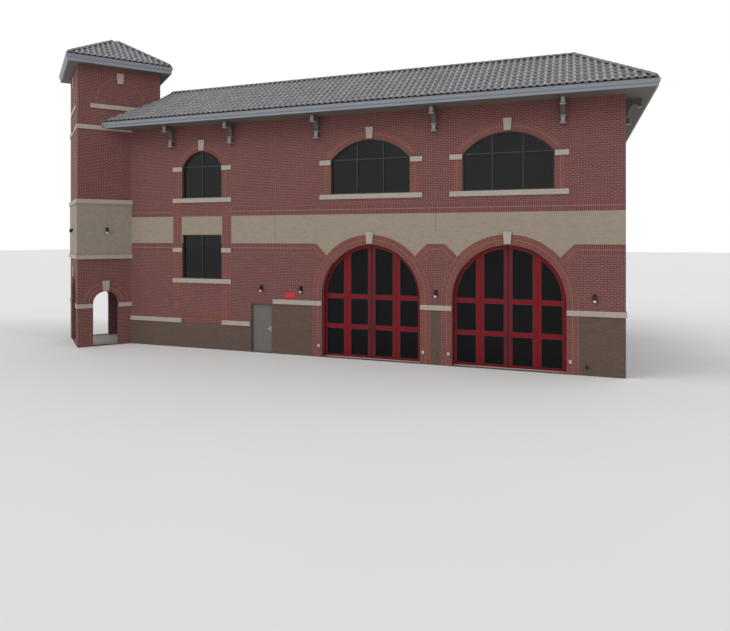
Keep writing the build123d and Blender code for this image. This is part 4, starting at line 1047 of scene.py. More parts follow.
def slopes():
    """Each slope: its name, its eave from left to right, and the convex outlines that it covers."""
    eave, top, (front_notch, street_notch) = roof_lines()
    rows = []
    for side, name in enumerate(("east", "rear", "return", "wing")):
        corners = [eave[side], eave[side + 1], top[side + 1], top[side]]
        rows.append((name, corners[0], corners[1], [corners]))
    foot = lifted(TOWER[0] + TOWER_ALONG * EAVE_ON_TOWER, TILE_EDGE)
    hip = level_point(eave[0], top[0], front_notch.z)
    outlines = [[foot, eave[0], hip, front_notch], [front_notch, hip, top[0], top[6]]]
    rows.append(("front", eave[5], eave[0], outlines))
    foot = lifted(TOWER[3] + TOWER_ALONG * EAVE_ON_TOWER, TILE_EDGE)
    hip = level_point(eave[4], top[4], street_notch.z)
    outlines = [[eave[4], foot, street_notch, hip], [hip, street_notch, top[5], top[4]]]
    rows.append(("street", eave[4], eave[5], outlines))
    rows.append(("saddle", street_notch, front_notch, [[street_notch, front_notch, top[6], top[5]]]))
    tower, apex = tower_lines()
    for side in range(4):
        corners = [tower[side], tower[(side + 1) % 4], apex]
        rows.append(("tower", corners[0], corners[1], [corners]))
    bump, (peak, corner, north) = bump_lines()
    sides = ([bump[0], bump[1], corner, north], [bump[1], bump[2], peak, corner], [bump[2], bump[3], peak])
    for corners in sides:
        rows.append(("bump", corners[0], corners[1], [corners]))
    return rows


def cut_off(whole, place, outwards):
    """Takes away what lies beyond a plane."""
    everything = whole.verts[:] + whole.edges[:] + whole.faces[:]
    bmesh.ops.bisect_plane(whole, geom=everything, plane_co=place, plane_no=outwards, clear_outer=True)


def cut_to(mesh, corners, normal):
    """The part of a mesh inside a convex outline."""
    whole = bmesh.new()
    whole.from_mesh(mesh)
    for index, here in enumerate(corners):
        after = corners[(index + 1) % len(corners)]
        cut_off(whole, here, (after - here).cross(normal).normalized())
    return whole


def tile_slope(tree, tile, left, right, outlines, seed):
    """The tiles of one slope as a list of bmeshes."""
    tiles = bpy.context.scene.station_tiles
    along = (right - left).normalized()
    top = max((p for o in outlines for p in o), key=lambda p: p.z)
    rise = top - left
    up = (rise - along * rise.dot(along)).normalized()
    normal = along.cross(up)
    values = {
        "Piece": tile,
        "Material": FINISHES["clay_tile"],
        "Seed": seed,
        "Width": (right - left).length,
        "Height": rise.dot(up),
        "Column": tiles.tile_width,
        "Row": tiles.tile_gauge,
    }
    mesh = tree.run(bpy.data.meshes.new("field"), values)
    place = Matrix((along, up, normal)).transposed().to_4x4()
    place.translation = left + up * TILE_START
    mesh.transform(place)
    return [cut_to(mesh, corners, normal) for corners in outlines]


def joined(name, parts, material):
    """One object from several bmeshes."""
    whole = bmesh.new()
    for part in parts:
        mesh = bpy.data.meshes.new("part")
        part.to_mesh(mesh)
        part.free()
        whole.from_mesh(mesh)
    mesh = bpy.data.meshes.new(name)
    whole.to_mesh(mesh)
    whole.free()
    mesh.materials.append(material)
    return linked(name, mesh)


def make_tiles():
    """S-shaped tiles over every slope, one piece a side."""
    tiles = bpy.context.scene.station_tiles
    tree = field_tree()
    tile = tile_pattern()
    groups = {}
    for index, (name, left, right, outlines) in enumerate(slopes()):
        parts = tile_slope(tree, tile, left, right, outlines, tiles.seed + index)
        groups.setdefault(name, []).extend(parts)
    for part in groups["tower"]:
        cut_off(part, (0, 0, CAD_BOX[1].z - 0.01), (0, 0, 1))
    for name, parts in groups.items():
        settle(joined("tiles_" + name, parts, FINISHES["clay_tile"]))
    bpy.data.objects.remove(tile)


def rising(start, end):
    """A hip's line, from a little above the eave."""
    return start + (end - start).normalized() * CAP_START, end


def make_caps():
    """Round tiles over hips and crests, and the lead cap on the tower's peak."""
    tiles = bpy.context.scene.station_tiles
    eave, top, _ = roof_lines()
    tower, apex = tower_lines()
    bump, (peak, corner, _) = bump_lines()
    lines = [rising(eave[n], top[n]) for n in (0, 1, 2, 4)]
    lines += [(top[n], top[(n + 1) % len(top)]) for n in range(len(top))]
    lines += [rising(c, c + (apex - c) * 0.93) for c in tower]
    lines += [rising(bump[1], corner), rising(bump[2], peak)]
    size = Vector((tiles.cap_spacing * 1.18, 0.20, 0.15))
    spots = []
    for start, end in lines:
        run = end - start
        along = run.normalized()
        out = (Vector((0, 0, 1)) - along * along.z).normalized()
        count = max(1, round(run.length / tiles.cap_spacing))
        for n in range(count):
            spots.append(Spot(start + run * ((n + 0.5) / count) + out * 0.045, -along, out, size))
    piece = laid("hip_and_crest_tiles", cap_pattern(), "crest_tile", spots, tiles.seed)
    whole = bmesh.new()
    whole.from_mesh(piece.data)
    cut_off(whole, (0, 0, CAD_BOX[1].z - 0.012), (0, 0, 1))
    whole.to_mesh(piece.data)
    whole.free()
    settle(piece)
    maker = Mesher()
    half, highest = 0.2, CAD_BOX[1].z - 0.002
    base = [apex + (TOWER_ALONG * x + TOWER_BACK * y) * half for x, y in SQUARE]
    low = [Vector((p.x, p.y, highest - 0.17)) for p in base]
    under = [Vector((p.x, p.y, highest - 0.20)) for p in base]
    faces = [[n, (n + 1) % 4, 4] for n in range(4)]
    faces += [[n, 5 + n, 5 + (n + 1) % 4, (n + 1) % 4] for n in range(4)]
    maker.add(low + [Vector((apex.x, apex.y, highest))] + under, faces + [[8, 7, 6, 5]])
    settle(maker.made("tower_peak_cap", FINISHES["cap"]))


# Gutters
# Distances out from the eave line and above the tiles' edge, 0 or less. None is the foot of the fascia.
GUTTER_PROFILE = (
    (-0.118, None), (-0.055, None), (-0.055, -0.172), (-0.040, -0.150), (-0.016, -0.118),
    (-0.010, -0.080), (-0.016, -0.048), (-0.001, -0.030), (0.0, 0.0), (-0.012, 0.0), (-0.014, -0.02),
    (-0.050, -0.045), (-0.118, -0.045),
)


def moved_path(path, distance, closed):
    """An open or closed path moved inwards."""
    if closed:
        return offset(path, distance)
    moved = [path[0] + left_of((path[1] - path[0]).normalized()) * distance]
    for before, here, after in zip(path, path[1:], path[2:]):
        arriving, leaving = (here - before).normalized(), (after - here).normalized()
        first, second = before + left_of(arriving) * distance, here + left_of(leaving) * distance
        moved.append(meet(first, arriving, second, leaving))
    moved.append(path[-1] + left_of((path[-1] - path[-2]).normalized()) * distance)
    return moved


def swept(maker, path, top, foot, closed=False):
    """A gutter with its fascia along a path, from the tiles' edge down to the soffit."""
    rows = []
    for out, height in GUTTER_PROFILE:
        level = foot if height is None else top + height
        rows.append([lifted(p, level) for p in moved_path(path, -out, closed)])
    count, steps = len(path), len(rows)
    faces = []
    for n in range(count if closed else count - 1):
        m = (n + 1) % count
        for r in range(steps):
            s = (r + 1) % steps
            faces.append([r * count + n, r * count + m, s * count + m, s * count + n])
    if not closed:
        faces.append([r * count for r in range(steps)])
        faces.append([r * count + count - 1 for r in range(steps - 1, -1, -1)])
    maker.add([p for row in rows for p in row], faces)


def make_gutters():
    """Gutters and fascias round the main roof, the tower and the street bay."""
    maker = Mesher()
    eave = offset(FOOTPRINT, -OVERHANG)
    start = plan(FRONT_CORNER.x + TOWER_MEETING, eave[0].y)
    end = FRONT_CORNER + STREET_UP * TOWER_MEETING + STREET_OUT * OVERHANG
    swept(maker, [start] + eave[:5] + [end], TILE_EDGE, SOFFIT)
    swept(maker, offset(TOWER, -TOWER_OVERHANG), TOWER_TILE_EDGE, TOWER_TOP, closed=True)
    swept(maker, bump_outline(BUMP_OVERHANG), BUMP_TILE_EDGE, BUMP_SOFFIT)
    settle(maker.made("eave_gutters", FINISHES["gutter"]), nodes=("gutters",))


# Arches and strips of laid bricks
class Brickwork:
    """Spots for laid bricks, and the mortar behind them."""

    SUNK = 0.012
    ARC_STEPS = 40

    def __init__(self):
        self.sizes = bpy.context.scene.station_bricks
        self.spots = []
        self.bed = Mesher()

    def brick(self, wall, middle, direction, step, reach):
        """One brick: direction is across its short side, and reach is its long side with a joint."""
        along = wall.along * direction[0] + Vector((0, 0, direction[1]))
        joint = self.sizes.joint
        size = Vector((step - joint, reach - 1.4 * joint, self.SUNK + self.sizes.proud))
        self.spots.append(Spot(wall.at(middle[0], middle[1], -self.SUNK), along, wall.out, size))

    def backing(self, wall, corners):
        """Mortar behind some bricks, from its (u, height) corners."""
        depth = self.SUNK + self.sizes.proud * 0.6
        self.bed.prism([wall.at(u, h, depth - self.SUNK) for u, h in corners], wall.out * -depth)

    def line(self, wall, start, end, rows):
        """Bricks along a straight line; rows are (distance to its left, length) pairs."""
        start, run = Vector(start), Vector(end) - Vector(start)
        direction = run.normalized()
        across = Vector((-direction.y, direction.x))
        count = max(1, round(run.length / self.sizes.course))
        step = run.length / count
        for near, reach in rows:
            for n in range(count):
                middle = start + direction * ((n + 0.5) * step) + across * (near + reach / 2)
                self.brick(wall, middle, direction, step, reach)
            low, high = start + across * near, start + across * (near + reach)
            self.backing(wall, [low, low + run, high + run, high])

    def arc(self, wall, opening, rows):
        """Bricks round an arch, on its outer side, each ring evenly divided."""
        radius, level = arc_of(opening)
        middle = Vector((opening.centre, level))
        first = math.asin((opening.spring - level) / radius)
        sweep = math.pi - 2 * first

        def ray(share):
            turn = math.pi - first - sweep * share
            return Vector((math.cos(turn), math.sin(turn)))

        for near, reach in rows:
            inner, outer = radius + near, radius + near + reach
            run = (inner + outer) / 2 * sweep
            count = round(run / self.sizes.course)
            for n in range(count):
                out = ray((n + 0.5) / count)
                self.brick(wall, middle + out * (inner + outer) / 2, (out.y, -out.x), run / count, reach)
            for n in range(self.ARC_STEPS):
                here, after = ray(n / self.ARC_STEPS), ray((n + 1) / self.ARC_STEPS)
                corners = ((here, inner), (after, inner), (after, outer), (here, outer))
                self.backing(wall, [middle + way * distance for way, distance in corners])

    def frame(self, wall, opening, rows):
        """Bricks round an arch and down both its sides."""
        left, right = opening.centre - opening.width / 2, opening.centre + opening.width / 2
        self.arc(wall, opening, rows)
        self.line(wall, (left, opening.sill), (left, opening.spring), rows)
        self.line(wall, (right, opening.spring), (right, opening.sill), rows)

    def strip(self, wall, left, width, bottom, top):
        """Two stacks of bricks side by side, up a wall."""
        half = width / 2
        self.line(wall, (left + width, bottom), (left + width, top), [(0.0, half), (half, half)])


def make_arches():
    """Arches, jambs, flat lintels and strips of laid bricks, and the mortar behind them."""
    front = WALLS["front"]
    single, double, ring = [(0.0, ROW)], [(0.0, ROW), (ROW, ROW)], [(0.0, ROW), (ROW, 0.10)]
    work = Brickwork()
    for u in BAY_CENTRES:
        work.frame(front, Opening(u, 2 * BAY_RADIUS, 0.0, BAY_SPRING, BAY_RADIUS), double)
        for side in (-1, 1):
            leg = [(u + side * 2.40, BAND_BOTTOM), (u + side * 1.98, BAND_BOTTOM - 0.42)]
            work.line(front, *leg[::-side], [(-ROW, ROW), (-2 * ROW, ROW)])
    for wall, opening, _, _ in window_list():
        left, right = opening.centre - opening.width / 2, opening.centre + opening.width / 2
        if opening.rise:
            work.frame(wall, opening, ring)
        elif wall is not WALLS["tower_inner"] and wall is not front:
            work.line(wall, (left, opening.spring), (right, opening.spring), single)
    half, width = 1.08, 0.42
    for left in (HALL_CENTRE - (half + width), HALL_CENTRE + half):
        work.strip(front, left, width, COURSE_TOP, 6.64)
    work.line(front, (HALL_CENTRE - half, COURSE_TOP), (HALL_CENTRE + half, COURSE_TOP), single)
    blind = Opening(TOWER_SIDE / 2, 1.65, 11.06, 11.52, 0.825)
    for name in ("tower_front", "tower_street", "tower_corner"):
        work.frame(WALLS[name], blind, single)
    porch = Opening(1.21, 1.1, 0.0, PORCH_SPRING, 0.55)
    work.arc(WALLS["tower_front"], porch, double)
    work.arc(WALLS["tower_street"], porch._replace(centre=TOWER_SIDE - 1.21), double)
    work.arc(WALLS["tower_corner"], Opening(TOWER_SIDE / 2, 2.34, 0.0, PORCH_SPRING, 1.17), double)
    maker = Mesher()
    maker.prism([Vector((x / 2, y / 2, 1)) for x, y in SQUARE], Vector((0, 0, -1)))
    settle(laid("arch_bricks", pattern("brick_pattern", maker), "arch_brick", work.spots, 7))
    settle(work.bed.made("arch_joints", FINISHES["joint_bed"]))


# Brackets
def bracket_mouldings():
    """Plates and panels of one eave bracket: x along the wall, y up from the soffit, z outwards."""
    maker = Mesher()
    maker.box((-0.108, -0.922, 0.0), (0.108, -0.888, 0.226))
    maker.box((-0.102, -0.662, 0.0), (0.102, -0.628, 0.214))
    maker.box((-0.062, -0.865, 0.19), (0.062, -0.69, 0.212))
    maker.box((-0.102, -0.312, 0.47), (0.102, -0.278, 0.640))
    maker.box((-0.062, -0.25, 0.61), (0.062, -0.05, 0.632))
    return maker


def small_bracket():
    """A curved bracket of the street bay, drawn as the large ones are."""
    maker = Mesher()
    turns = [n * math.pi / 16 for n in range(9)]
    curve = [(0.36 - 0.30 * math.sin(t), -0.08 - 0.36 * (1 - math.cos(t))) for t in turns]
    for (z0, y0), (z1, y1) in zip(curve, curve[1:]):
        edge = [Vector((-0.055, y, z)) for z, y in ((z0, y0), (z1, y1), (z1, 0.0), (z0, 0.0))]
        maker.prism(edge, Vector((0.11, 0, 0)))
    maker.box((-0.055, -0.14, 0.36), (0.055, 0.0, 0.44))
    maker.box((-0.055, -0.50, 0.0), (0.055, 0.0, 0.062))
    maker.box((-0.062, -0.53, 0.0), (0.062, -0.44, 0.10))
    return maker


EAVE_BRACKETS = {
    "front": (4.775, 7.925, 12.11, 17.14, 21.96),
    "east": (1.0, 8.1, 13.9, 21.1),
    "rear": (1.4, 9.2, 11.6, 15.8),
    "wing": (2.65, 7.23, 9.3),
    "street": (0.5, 5.0, 9.7, 14.0),
}
SMALL_BRACKETS = {"bump_north": (3.0,), "bump_west": (0.4, 3.4, 6.3, 8.9, 11.1)}


def bracket_spots(rows, height):
    """Spots for brackets under an eave, from their places along each wall."""
    places = [(WALLS[name], u) for name, row in rows.items() for u in row]
    return [Spot(wall.at(u, height), wall.along, wall.out, Vector((1, 1, 1))) for wall, u in places]


def make_brackets():
    """Mouldings on the eave brackets, and the small brackets under the street bay's eave."""
    large, small = bracket_spots(EAVE_BRACKETS, SOFFIT), bracket_spots(SMALL_BRACKETS, BUMP_SOFFIT)
    mouldings = pattern("moulding_pattern", bracket_mouldings())
    settle(laid("bracket_mouldings", mouldings, "timber_light", large, 3))
    arm = pattern("small_bracket_pattern", small_bracket())
    settle(laid("street_bay_brackets", arm, "timber", small, 5))


def make_band_ends():
    """Short lengths of the stone course beside the low street windows, and the ledge under them."""
    maker = Mesher()
    street = WALLS["street"]
    for far, near, bottom, top, out in (
        (7.35, 7.20, LOW_BASE, COURSE_TOP, 0.04),
        (2.74, 2.42, LOW_BASE, COURSE_TOP, 0.04),
        (7.20, 2.74, -0.06, 0.10, 0.05),
    ):
        maker.block(street, STREET_LENGTH - far, STREET_LENGTH - near, bottom, top, -0.01, out)
    settle(maker.made("street_band_ends", FINISHES["cast_stone"], 0.004))


# Window frames
def make_frames():
    """A frame in every window with its mullions and transoms, one piece a side of the building."""
    frames = bpy.context.scene.station_frames
    half_bar = frames.bar / 2
    outer_face = GLASS_FACE + 0.05
    inner_face = outer_face - frames.depth
    keys = {wall: key for key, wall in WALLS.items()}
    makers = {}
    for wall, opening, mullions, transoms in window_list():
        side = keys[wall] if keys[wall] in ("front", "street", "wing", "rear", "east") else "low"
        maker = makers.setdefault(side + "_window_frames", Mesher())
        outer = [wall.at(u, h, outer_face) for u, h in outline(opening, 0.001)]
        inner = [wall.at(u, h, outer_face) for u, h in outline(opening, frames.edge)]
        maker.ring(outer, inner, wall.out * -frames.depth)
        for n in range(mullions):
            u = opening.centre - opening.width / 2 + opening.width * (n + 1) / (mullions + 1)
            bottom, top = opening.sill + 0.02, top_at(opening, u, frames.edge * 0.5)
            maker.block(wall, u - half_bar, u + half_bar, bottom, top, inner_face + 0.01, outer_face - 0.008)
        half = opening.width / 2 - frames.edge * 0.5
        left, right = opening.centre - half, opening.centre + half
        for height in transoms:
            low, high = height - half_bar, height + half_bar
            maker.block(wall, left, right, low, high, inner_face + 0.01, outer_face - 0.010)
    for name, maker in makers.items():
        settle(maker.made(name, FINISHES["bronze"]))


# Bay doors
def pane_outlines(centre, inset):
    """The panes of one bay door as (u, height) outlines, made smaller by inset."""
    radius = BAY_RADIUS - STILE - inset
    edges = []
    for leaf in range(4):
        start = centre - BAY_RADIUS + leaf * BAY_LEAF + (LEAF_SEAM if leaf else 0) + STILE + inset
        end = centre - BAY_RADIUS + (leaf + 1) * BAY_LEAF - (LEAF_SEAM if leaf < 3 else 0) - STILE - inset
        for low, high in RAIL_EDGES:
            low += inset
            if high:
                edges.append([(start, low), (end, low), (end, high - inset), (start, high - inset)])
                continue
            reach = radius * math.cos(math.asin((low - BAY_SPRING) / radius))
            left, right = max(start, centre - reach), min(end, centre + reach)
            arc = []
            for n in range(13):
                u = right + (left - right) * n / 12
                arc.append((u, BAY_SPRING + math.sqrt(max(radius**2 - (u - centre) ** 2, 0))))
            edges.append([(left, low), (right, low)] + arc)
    return edges


def arch_above(centre, u):
    """Height of a bay door's arch above a place along the wall."""
    return BAY_SPRING + math.sqrt(max(BAY_RADIUS**2 - (u - centre) ** 2, 0))


def make_door_fittings():
    """Seals round the panes and between the leaves, sweeps, sensors, hinges and pulls."""
    wall = WALLS["front"]
    seals, hinges, sweeps = Mesher(), Mesher(), Mesher()
    for centre in BAY_CENTRES:
        for outer, inner in zip(pane_outlines(centre, 0.0), pane_outlines(centre, 0.018)):
            edges = [[wall.at(u, h, DOOR_FACE + 0.006) for u, h in edge] for edge in (outer, inner)]
            seals.ring(*edges, wall.out * -0.03)
        for leaf in (1, 2, 3):
            u = centre - BAY_RADIUS + leaf * BAY_LEAF
            top = arch_above(centre, u) - 0.02
            strips = ((-0.05, -0.008), (0.008, 0.05)) if leaf == 2 else ((-0.007, 0.007),)
            for near, far in strips:
                seals.block(wall, u + near, u + far, 0.02, top, DOOR_FACE - 0.01, DOOR_FACE + 0.008)
        left, right = centre - BAY_RADIUS + 0.01, centre + BAY_RADIUS - 0.01
        sweeps.block(wall, left, right, 0.0, 0.028, DOOR_FACE, DOOR_FACE + 0.03)
        for side in (-1, 1):
            u = centre + side * (BAY_RADIUS + 0.12)
            sweeps.block(wall, u - 0.045, u + 0.045, 0.42, 0.54, 0.0, 0.075)
            sweeps.turned(wall.at(u, 0.48, 0.075), wall.out, [(0, 0.028), (0.012, 0.024)], 12)
        for leaf, shift in ((0, 0.05), (1, 0.0), (3, 0.0), (4, -0.05)):
            u = centre - BAY_RADIUS + leaf * BAY_LEAF + shift
            for height in (0.35, 1.31, 2.57, 3.4):
                if height + 0.1 < arch_above(centre, u):
                    foot = wall.at(u, height - 0.09, DOOR_FACE + 0.012)
                    hinges.turned(foot, Vector((0, 0, 1)), [(0, 0.018), (0.18, 0.018)], 10)
                    low, high = height - 0.07, height + 0.07
                    hinges.block(wall, u - 0.055, u + 0.055, low, high, DOOR_FACE, DOOR_FACE + 0.008)
        for side in (-1, 1):
            u = centre + side * 0.10
            hinges.block(wall, u - 0.012, u + 0.012, 1.0, 1.32, DOOR_FACE + 0.03, DOOR_FACE + 0.05)
            for height in (1.02, 1.29):
                hinges.block(wall, u - 0.012, u + 0.012, height, height + 0.02, DOOR_FACE, DOOR_FACE + 0.04)
    settle(seals.made("bay_door_seals", FINISHES["seal"]))
    settle(hinges.made("bay_door_hinges", FINISHES["red_paint"]))
    settle(sweeps.made("door_sweeps_and_sensors", FINISHES["steel"], 0.002))


def make_handles():
    """A lever handle and its plate on each hinged door, riding on that door."""
    doors = (
        ("man_door", WALLS["front"], MAN_DOOR, 0.0),
        ("rear_door_east", WALLS["rear"], 12.64, REAR_FLOOR),
        ("rear_door_west", WALLS["rear"], 16.48, REAR_FLOOR),
    )
    half_opening, frame_width, clearance, backset, face = 0.515, 0.05, 0.008, 0.07, -0.1
    for body, wall, centre, floor in doors:
        maker = Mesher()
        u = centre + half_opening - frame_width - clearance - backset
        maker.block(wall, u - 0.03, u + 0.03, floor + 0.93, floor + 1.15, face, face + 0.008)
        maker.turned(wall.at(u, floor + 1.05, face), wall.out, [(0, 0.012), (0.055, 0.012)], 12)
        maker.block(wall, u - 0.13, u + 0.012, floor + 1.04, floor + 1.062, face + 0.045, face + 0.06)
        maker.turned(wall.at(u, floor + 0.97, face), wall.out, [(0, 0.014), (0.014, 0.014)], 12)
        settle(maker.made(body + "_handle", FINISHES["steel"], 0.002), body=body)


# Fittings
def lamp(maker, lens, wall, u, height, out=0.0):
    """A wall lamp: back box, arm and a round hood over a lens."""
    maker.block(wall, u - 0.06, u + 0.06, height - 0.02, height + 0.16, out, out + 0.035)
    maker.block(wall, u - 0.02, u + 0.02, height + 0.06, height + 0.10, out + 0.03, out + 0.09)
    top = wall.at(u, height + 0.13, out + 0.09)
    maker.turned(top, Vector((0, 0, -1)), [(0, 0.018), (0.03, 0.05), (0.10, 0.062), (0.17, 0.066)])
    globe = [(0, 0.046), (0.03, 0.055), (0.07, 0.05), (0.095, 0.03), (0.105, 0.008)]
    lens.turned(top + Vector((0, 0, -0.165)), Vector((0, 0, -1)), globe)


def rain_pipe(maker, wall, u, bottom, top):
    """A square pipe with folded ribs, straps and a shoe."""
    maker.block(wall, u, u + 0.10, bottom + 0.12, top, 0.06, 0.152)
    for n in range(3):
        maker.block(wall, u + 0.015 + n * 0.03, u + 0.025 + n * 0.03, bottom + 0.12, top, 0.15, 0.158)
    shoe = [(0.06, 0.12), (0.152, 0.16), (0.158, 0.04), (0.10, 0.0), (0.06, 0.0)]
    maker.prism([wall.at(u, bottom + height, out) for out, height in shoe], wall.along * 0.10)
    height = bottom + 0.3
    while height < top - 0.2:
        maker.block(wall, u - 0.02, u + 0.12, height, height + 0.03, 0.0, 0.159)
        height += 1.5


def make_fittings():
    """Lamps, the bare plate, the taps, the twin light and the rain pipes."""
    metal, lens, plate, light, brass, pipes = (Mesher() for _ in range(6))
    front, room, annex = WALLS["front"], WALLS["room_north"], WALLS["annex_north"]
    first, last = BAY_CENTRES
    beside = BAY_RADIUS + 0.96
    for u in (MAN_DOOR, first - beside, (first + last) / 2, last + beside):
        lamp(metal, lens, front, u, 2.80)
    places = (("tower_front", 1.25), ("tower_corner", TOWER_SIDE / 2), ("tower_street", TOWER_SIDE - 1.25))
    for name, u in places:
        lamp(metal, lens, WALLS[name], u, TOWER_LAMPS, 0.05)
    centre = MAN_DOOR + 1.39
    plate.block(front, centre - 0.235, centre + 0.235, 2.43, 2.68, 0.0, 0.012)
    for u in (centre - 0.21, centre + 0.21):
        for height in (2.455, 2.655):
            brass.turned(front.at(u, height, 0.012), front.out, [(0, 0.007), (0.004, 0.006)], 8)
    u, height = FRONT_LENGTH - 6.90, 0.45
    flange = [(0, 0.035), (0.01, 0.035), (0.011, 0.014), (0.07, 0.014)]
    brass.turned(front.at(u, height, 0.0), front.out, flange, 12)
    brass.turned(front.at(u, height, 0.05), Vector((0, 0, -1)), [(-0.05, 0.012), (0.08, 0.012)], 12)
    brass.turned(front.at(u, height + 0.05, 0.05), Vector((0, 0, 1)), [(0, 0.03), (0.01, 0.03)], 12)
    metal.turned(front.at(FRONT_LENGTH - 1.31, 0.32, 0.0), front.out, [(0, 0.06), (0.10, 0.06)])
    light.block(room, 0.10, 0.80, 4.17, 4.23, 0.0, 0.05)
    tilt = room.out + Vector((0, 0, -0.5))
    for height in (4.26, 4.04):
        light.turned(room.at(0.19, height, 0.03), tilt, [(0, 0.035), (0.03, 0.08), (0.10, 0.085)])
    for u in (1.75, 3.69):
        metal.block(annex, u - 0.08, u + 0.08, 5.84, 6.0, 0.0, 0.03)
    rain_pipe(pipes, annex, 5.70, REAR_GROUND, 5.97)
    pipes.block(annex, 5.75, 6.67, 5.91, 5.97, 0.0, 0.06)
    rain_pipe(pipes, WALLS["rear"], 14.62, REAR_GROUND, 0.0)
    settle(metal.made("wall_lamps", FINISHES["black"], 0.003), nodes=("wall_fittings",))
    settle(lens.made("lamp_lenses", FINISHES["lens"]))
    settle(plate.made("bare_red_plate", FINISHES["plate"], 0.004))
    settle(light.made("twin_light", FINISHES["white"], 0.003))
    settle(brass.made("taps_and_screws", FINISHES["brass"]))
    settle(pipes.made("rain_pipes", FINISHES["bronze"], 0.002))


def make_joints():
    """Vertical movement joints in the brickwork."""
    maker = Mesher()
    highest = 10.1
    places = (
        ("front", FRONT_LENGTH - 14.0, 2.2, highest),
        ("front", FRONT_LENGTH - 6.9, 5.3, highest),
        ("rear", 8.3, 2.0, highest),
        ("rear", 13.9, 1.35, highest),
        ("east", 7.4, 2.4, highest),
        ("east", 14.6, 2.4, highest),
        ("room_north", 3.9, -1.9, 5.8),
        ("street", 11.2, 5.4, highest),
    )
    for name, u, bottom, top in places:
        maker.block(WALLS[name], u - 0.006, u + 0.006, bottom, top, -0.01, 0.002)
    settle(maker.made("movement_joints", FINISHES["timber"]))


# Stage
def make_stage():
    """A pale floor, level in front of the building and falling beside it to the rear ground."""
    finish = Finish("pale_floor", 0.9)
    floor_material = finish.done(finish.shade(linear(222, 221, 218), 0.02, 0.3))
    reach, high, low = 300.0, APRON - 0.004, 0.016
    rows = ((-reach, high), (FRONT_CORNER.y, high), (WING_Y, low), (reach, low))
    points = [(x, y, z) for y, z in rows for x in (-reach, reach)]
    faces = [(2 * n, 2 * n + 1, 2 * n + 3, 2 * n + 2) for n in range(len(rows) - 1)]
    mesh = bpy.data.meshes.new("floor")
    mesh.from_pydata(points, [], faces)
    mesh.materials.append(floor_material)
    floor = linked("floor", mesh)
    make_light()
    make_camera()
    bpy.context.scene.view_settings.view_transform = "Standard"


def make_light():
    """A soft sky that the camera and the window panes see as white, and two wide suns."""
    world = bpy.data.worlds.new("soft_sky")
    bpy.context.scene.world = world
    world.use_nodes = True
    nodes = Nodes(world.node_tree)
    sky = nodes.tree.nodes["Background"]
    nodes.put((0.95, 0.97, 1.0), sky.inputs["Color"])
    nodes.put(0.8, sky.inputs["Strength"])
    white = nodes.node("ShaderNodeBackground", {"Color": (1, 1, 1)})
    path = nodes.node("ShaderNodeLightPath").outputs
    seen = path["Is Camera Ray"]
    for ray in ("Is Glossy Ray", "Is Transmission Ray"):
        seen = nodes.math("MAXIMUM", seen, path[ray])
    both_kinds = nodes.node("ShaderNodeMixShader", {0: seen, 1: sky.outputs[0], 2: white.outputs[0]})
    nodes.put(both_kinds.outputs[0], nodes.tree.nodes["World Output"].inputs["Surface"])
    for name, strength, turn in (("key", 1.0, (50, 0, -35)), ("fill", 0.35, (60, 0, 120))):
        sun = bpy.data.lights.new(name, "SUN")
        sun.energy = strength
        sun.angle = math.radians(40)
        linked(name, sun).rotation_euler = [math.radians(a) for a in turn]


def make_camera():
    """The place that the photo's first picture was taken from."""
    camera = bpy.data.cameras.new("camera")
    camera.lens, camera.sensor_width = 29.15, 36
    camera.shift_y = -0.1055
    camera.clip_end = 400
    holder = linked("camera", camera)
    holder.location = (10.195, -34.055, 7.0)
    holder.rotation_euler = (math.radians(90), 0, math.radians(19.22))
    bpy.context.scene.camera = holder


# Operators
class STATION_OT_finishes(Operator):
    """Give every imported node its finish"""

    bl_idname = "station.finishes"
    bl_label = "Finishes"

    def execute(self, context):
        FINISHES.update(make_finishes())
        for name, nodes in NODE_FINISHES.items():
            for node in nodes:
                piece = frame["nodes"][node]
                piece.data.materials.clear()
                piece.data.materials.append(FINISHES[name])
        return {"FINISHED"}


class STATION_OT_tiles(Operator):
    """Lay the roof tiles on every slope"""

    bl_idname = "station.tiles"
    bl_label = "Roof tiles"

    def execute(self, context):
        make_tiles()
        return {"FINISHED"}


class STATION_OT_caps(Operator):
    """Lay the round tiles over the hips and crests"""

    bl_idname = "station.caps"
    bl_label = "Hips and crests"

    def execute(self, context):
        make_caps()
        return {"FINISHED"}


class STATION_OT_gutters(Operator):
    """Run the gutters and fascias round the eaves"""

    bl_idname = "station.gutters"
    bl_label = "Gutters"

    def execute(self, context):
        make_gutters()
        return {"FINISHED"}


class STATION_OT_arches(Operator):
    """Lay the brick arches, jambs and strips"""

    bl_idname = "station.arches"
    bl_label = "Brick arches"

    def execute(self, context):
        make_arches()
        make_band_ends()
        make_joints()
        return {"FINISHED"}


class STATION_OT_brackets(Operator):
    """Fit mouldings to the eave brackets and hang the small ones of the street bay"""

    bl_idname = "station.brackets"
    bl_label = "Brackets"

    def execute(self, context):
        make_brackets()
        return {"FINISHED"}


class STATION_OT_frames(Operator):
    """Set a frame with its bars in every window"""

    bl_idname = "station.frames"
    bl_label = "Window frames"

    def execute(self, context):
        make_frames()
        return {"FINISHED"}


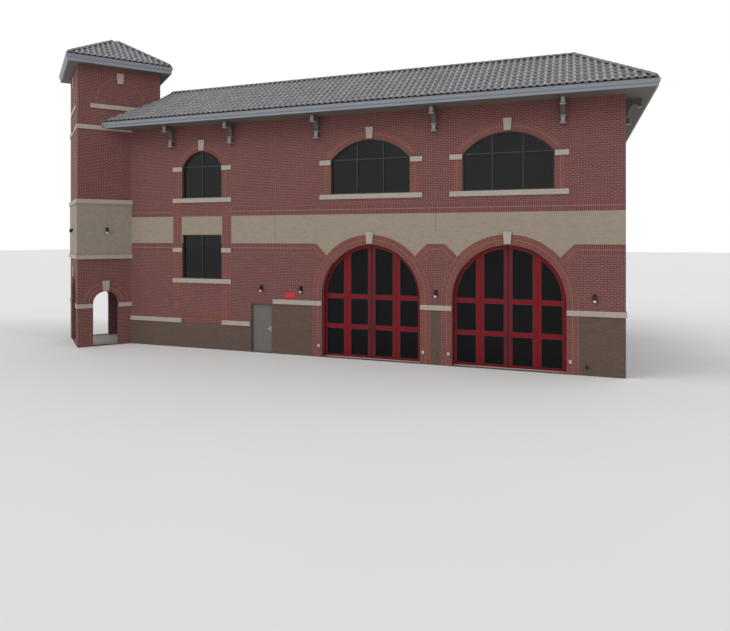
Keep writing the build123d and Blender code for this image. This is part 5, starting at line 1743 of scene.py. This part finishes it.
class STATION_OT_doors(Operator):
    """Fit seals, hinges and handles to the doors"""

    bl_idname = "station.doors"
    bl_label = "Door fittings"

    def execute(self, context):
        make_door_fittings()
        make_handles()
        return {"FINISHED"}


class STATION_OT_fittings(Operator):
    """Hang the lamps, the bare plate, the taps and the rain pipes"""

    bl_idname = "station.fittings"
    bl_label = "Wall fittings"

    def execute(self, context):
        make_fittings()
        return {"FINISHED"}


class STATION_OT_stage(Operator):
    """Set the floor, the soft light and the camera"""

    bl_idname = "station.stage"
    bl_label = "Stage"

    def execute(self, context):
        make_stage()
        return {"FINISHED"}


class STATION_PT_panel(Panel):
    """The steps that dress the building"""

    bl_idname = "STATION_PT_panel"
    bl_label = "Fire station"
    bl_space_type = "VIEW_3D"
    bl_region_type = "UI"
    bl_category = "Station"

    def draw(self, context):
        for step in STEPS:
            self.layout.operator(step.bl_idname)


STEPS = (
    STATION_OT_finishes,
    STATION_OT_tiles,
    STATION_OT_caps,
    STATION_OT_gutters,
    STATION_OT_arches,
    STATION_OT_brackets,
    STATION_OT_frames,
    STATION_OT_doors,
    STATION_OT_fittings,
    STATION_OT_stage,
)
GROUPS = {
    "station_colours": StationColours,
    "station_bricks": StationBricks,
    "station_tiles": StationTiles,
    "station_frames": StationFrames,
}


def register():
    for group in GROUPS.values():
        bpy.utils.register_class(group)
    for name, group in GROUPS.items():
        setattr(bpy.types.Scene, name, bpy.props.PointerProperty(type=group))
    for step in STEPS:
        bpy.utils.register_class(step)
    bpy.utils.register_class(STATION_PT_panel)


def unregister():
    bpy.utils.unregister_class(STATION_PT_panel)
    for step in reversed(STEPS):
        bpy.utils.unregister_class(step)
    for name, group in GROUPS.items():
        delattr(bpy.types.Scene, name)
        bpy.utils.unregister_class(group)


def main():
    register()
    bpy.ops.station.finishes()
    bpy.ops.station.tiles()
    bpy.ops.station.caps()
    bpy.ops.station.gutters()
    bpy.ops.station.arches()
    bpy.ops.station.brackets()
    bpy.ops.station.frames()
    bpy.ops.station.doors()
    bpy.ops.station.fittings()
    bpy.ops.station.stage()


if __name__ == "__main__":
    main()
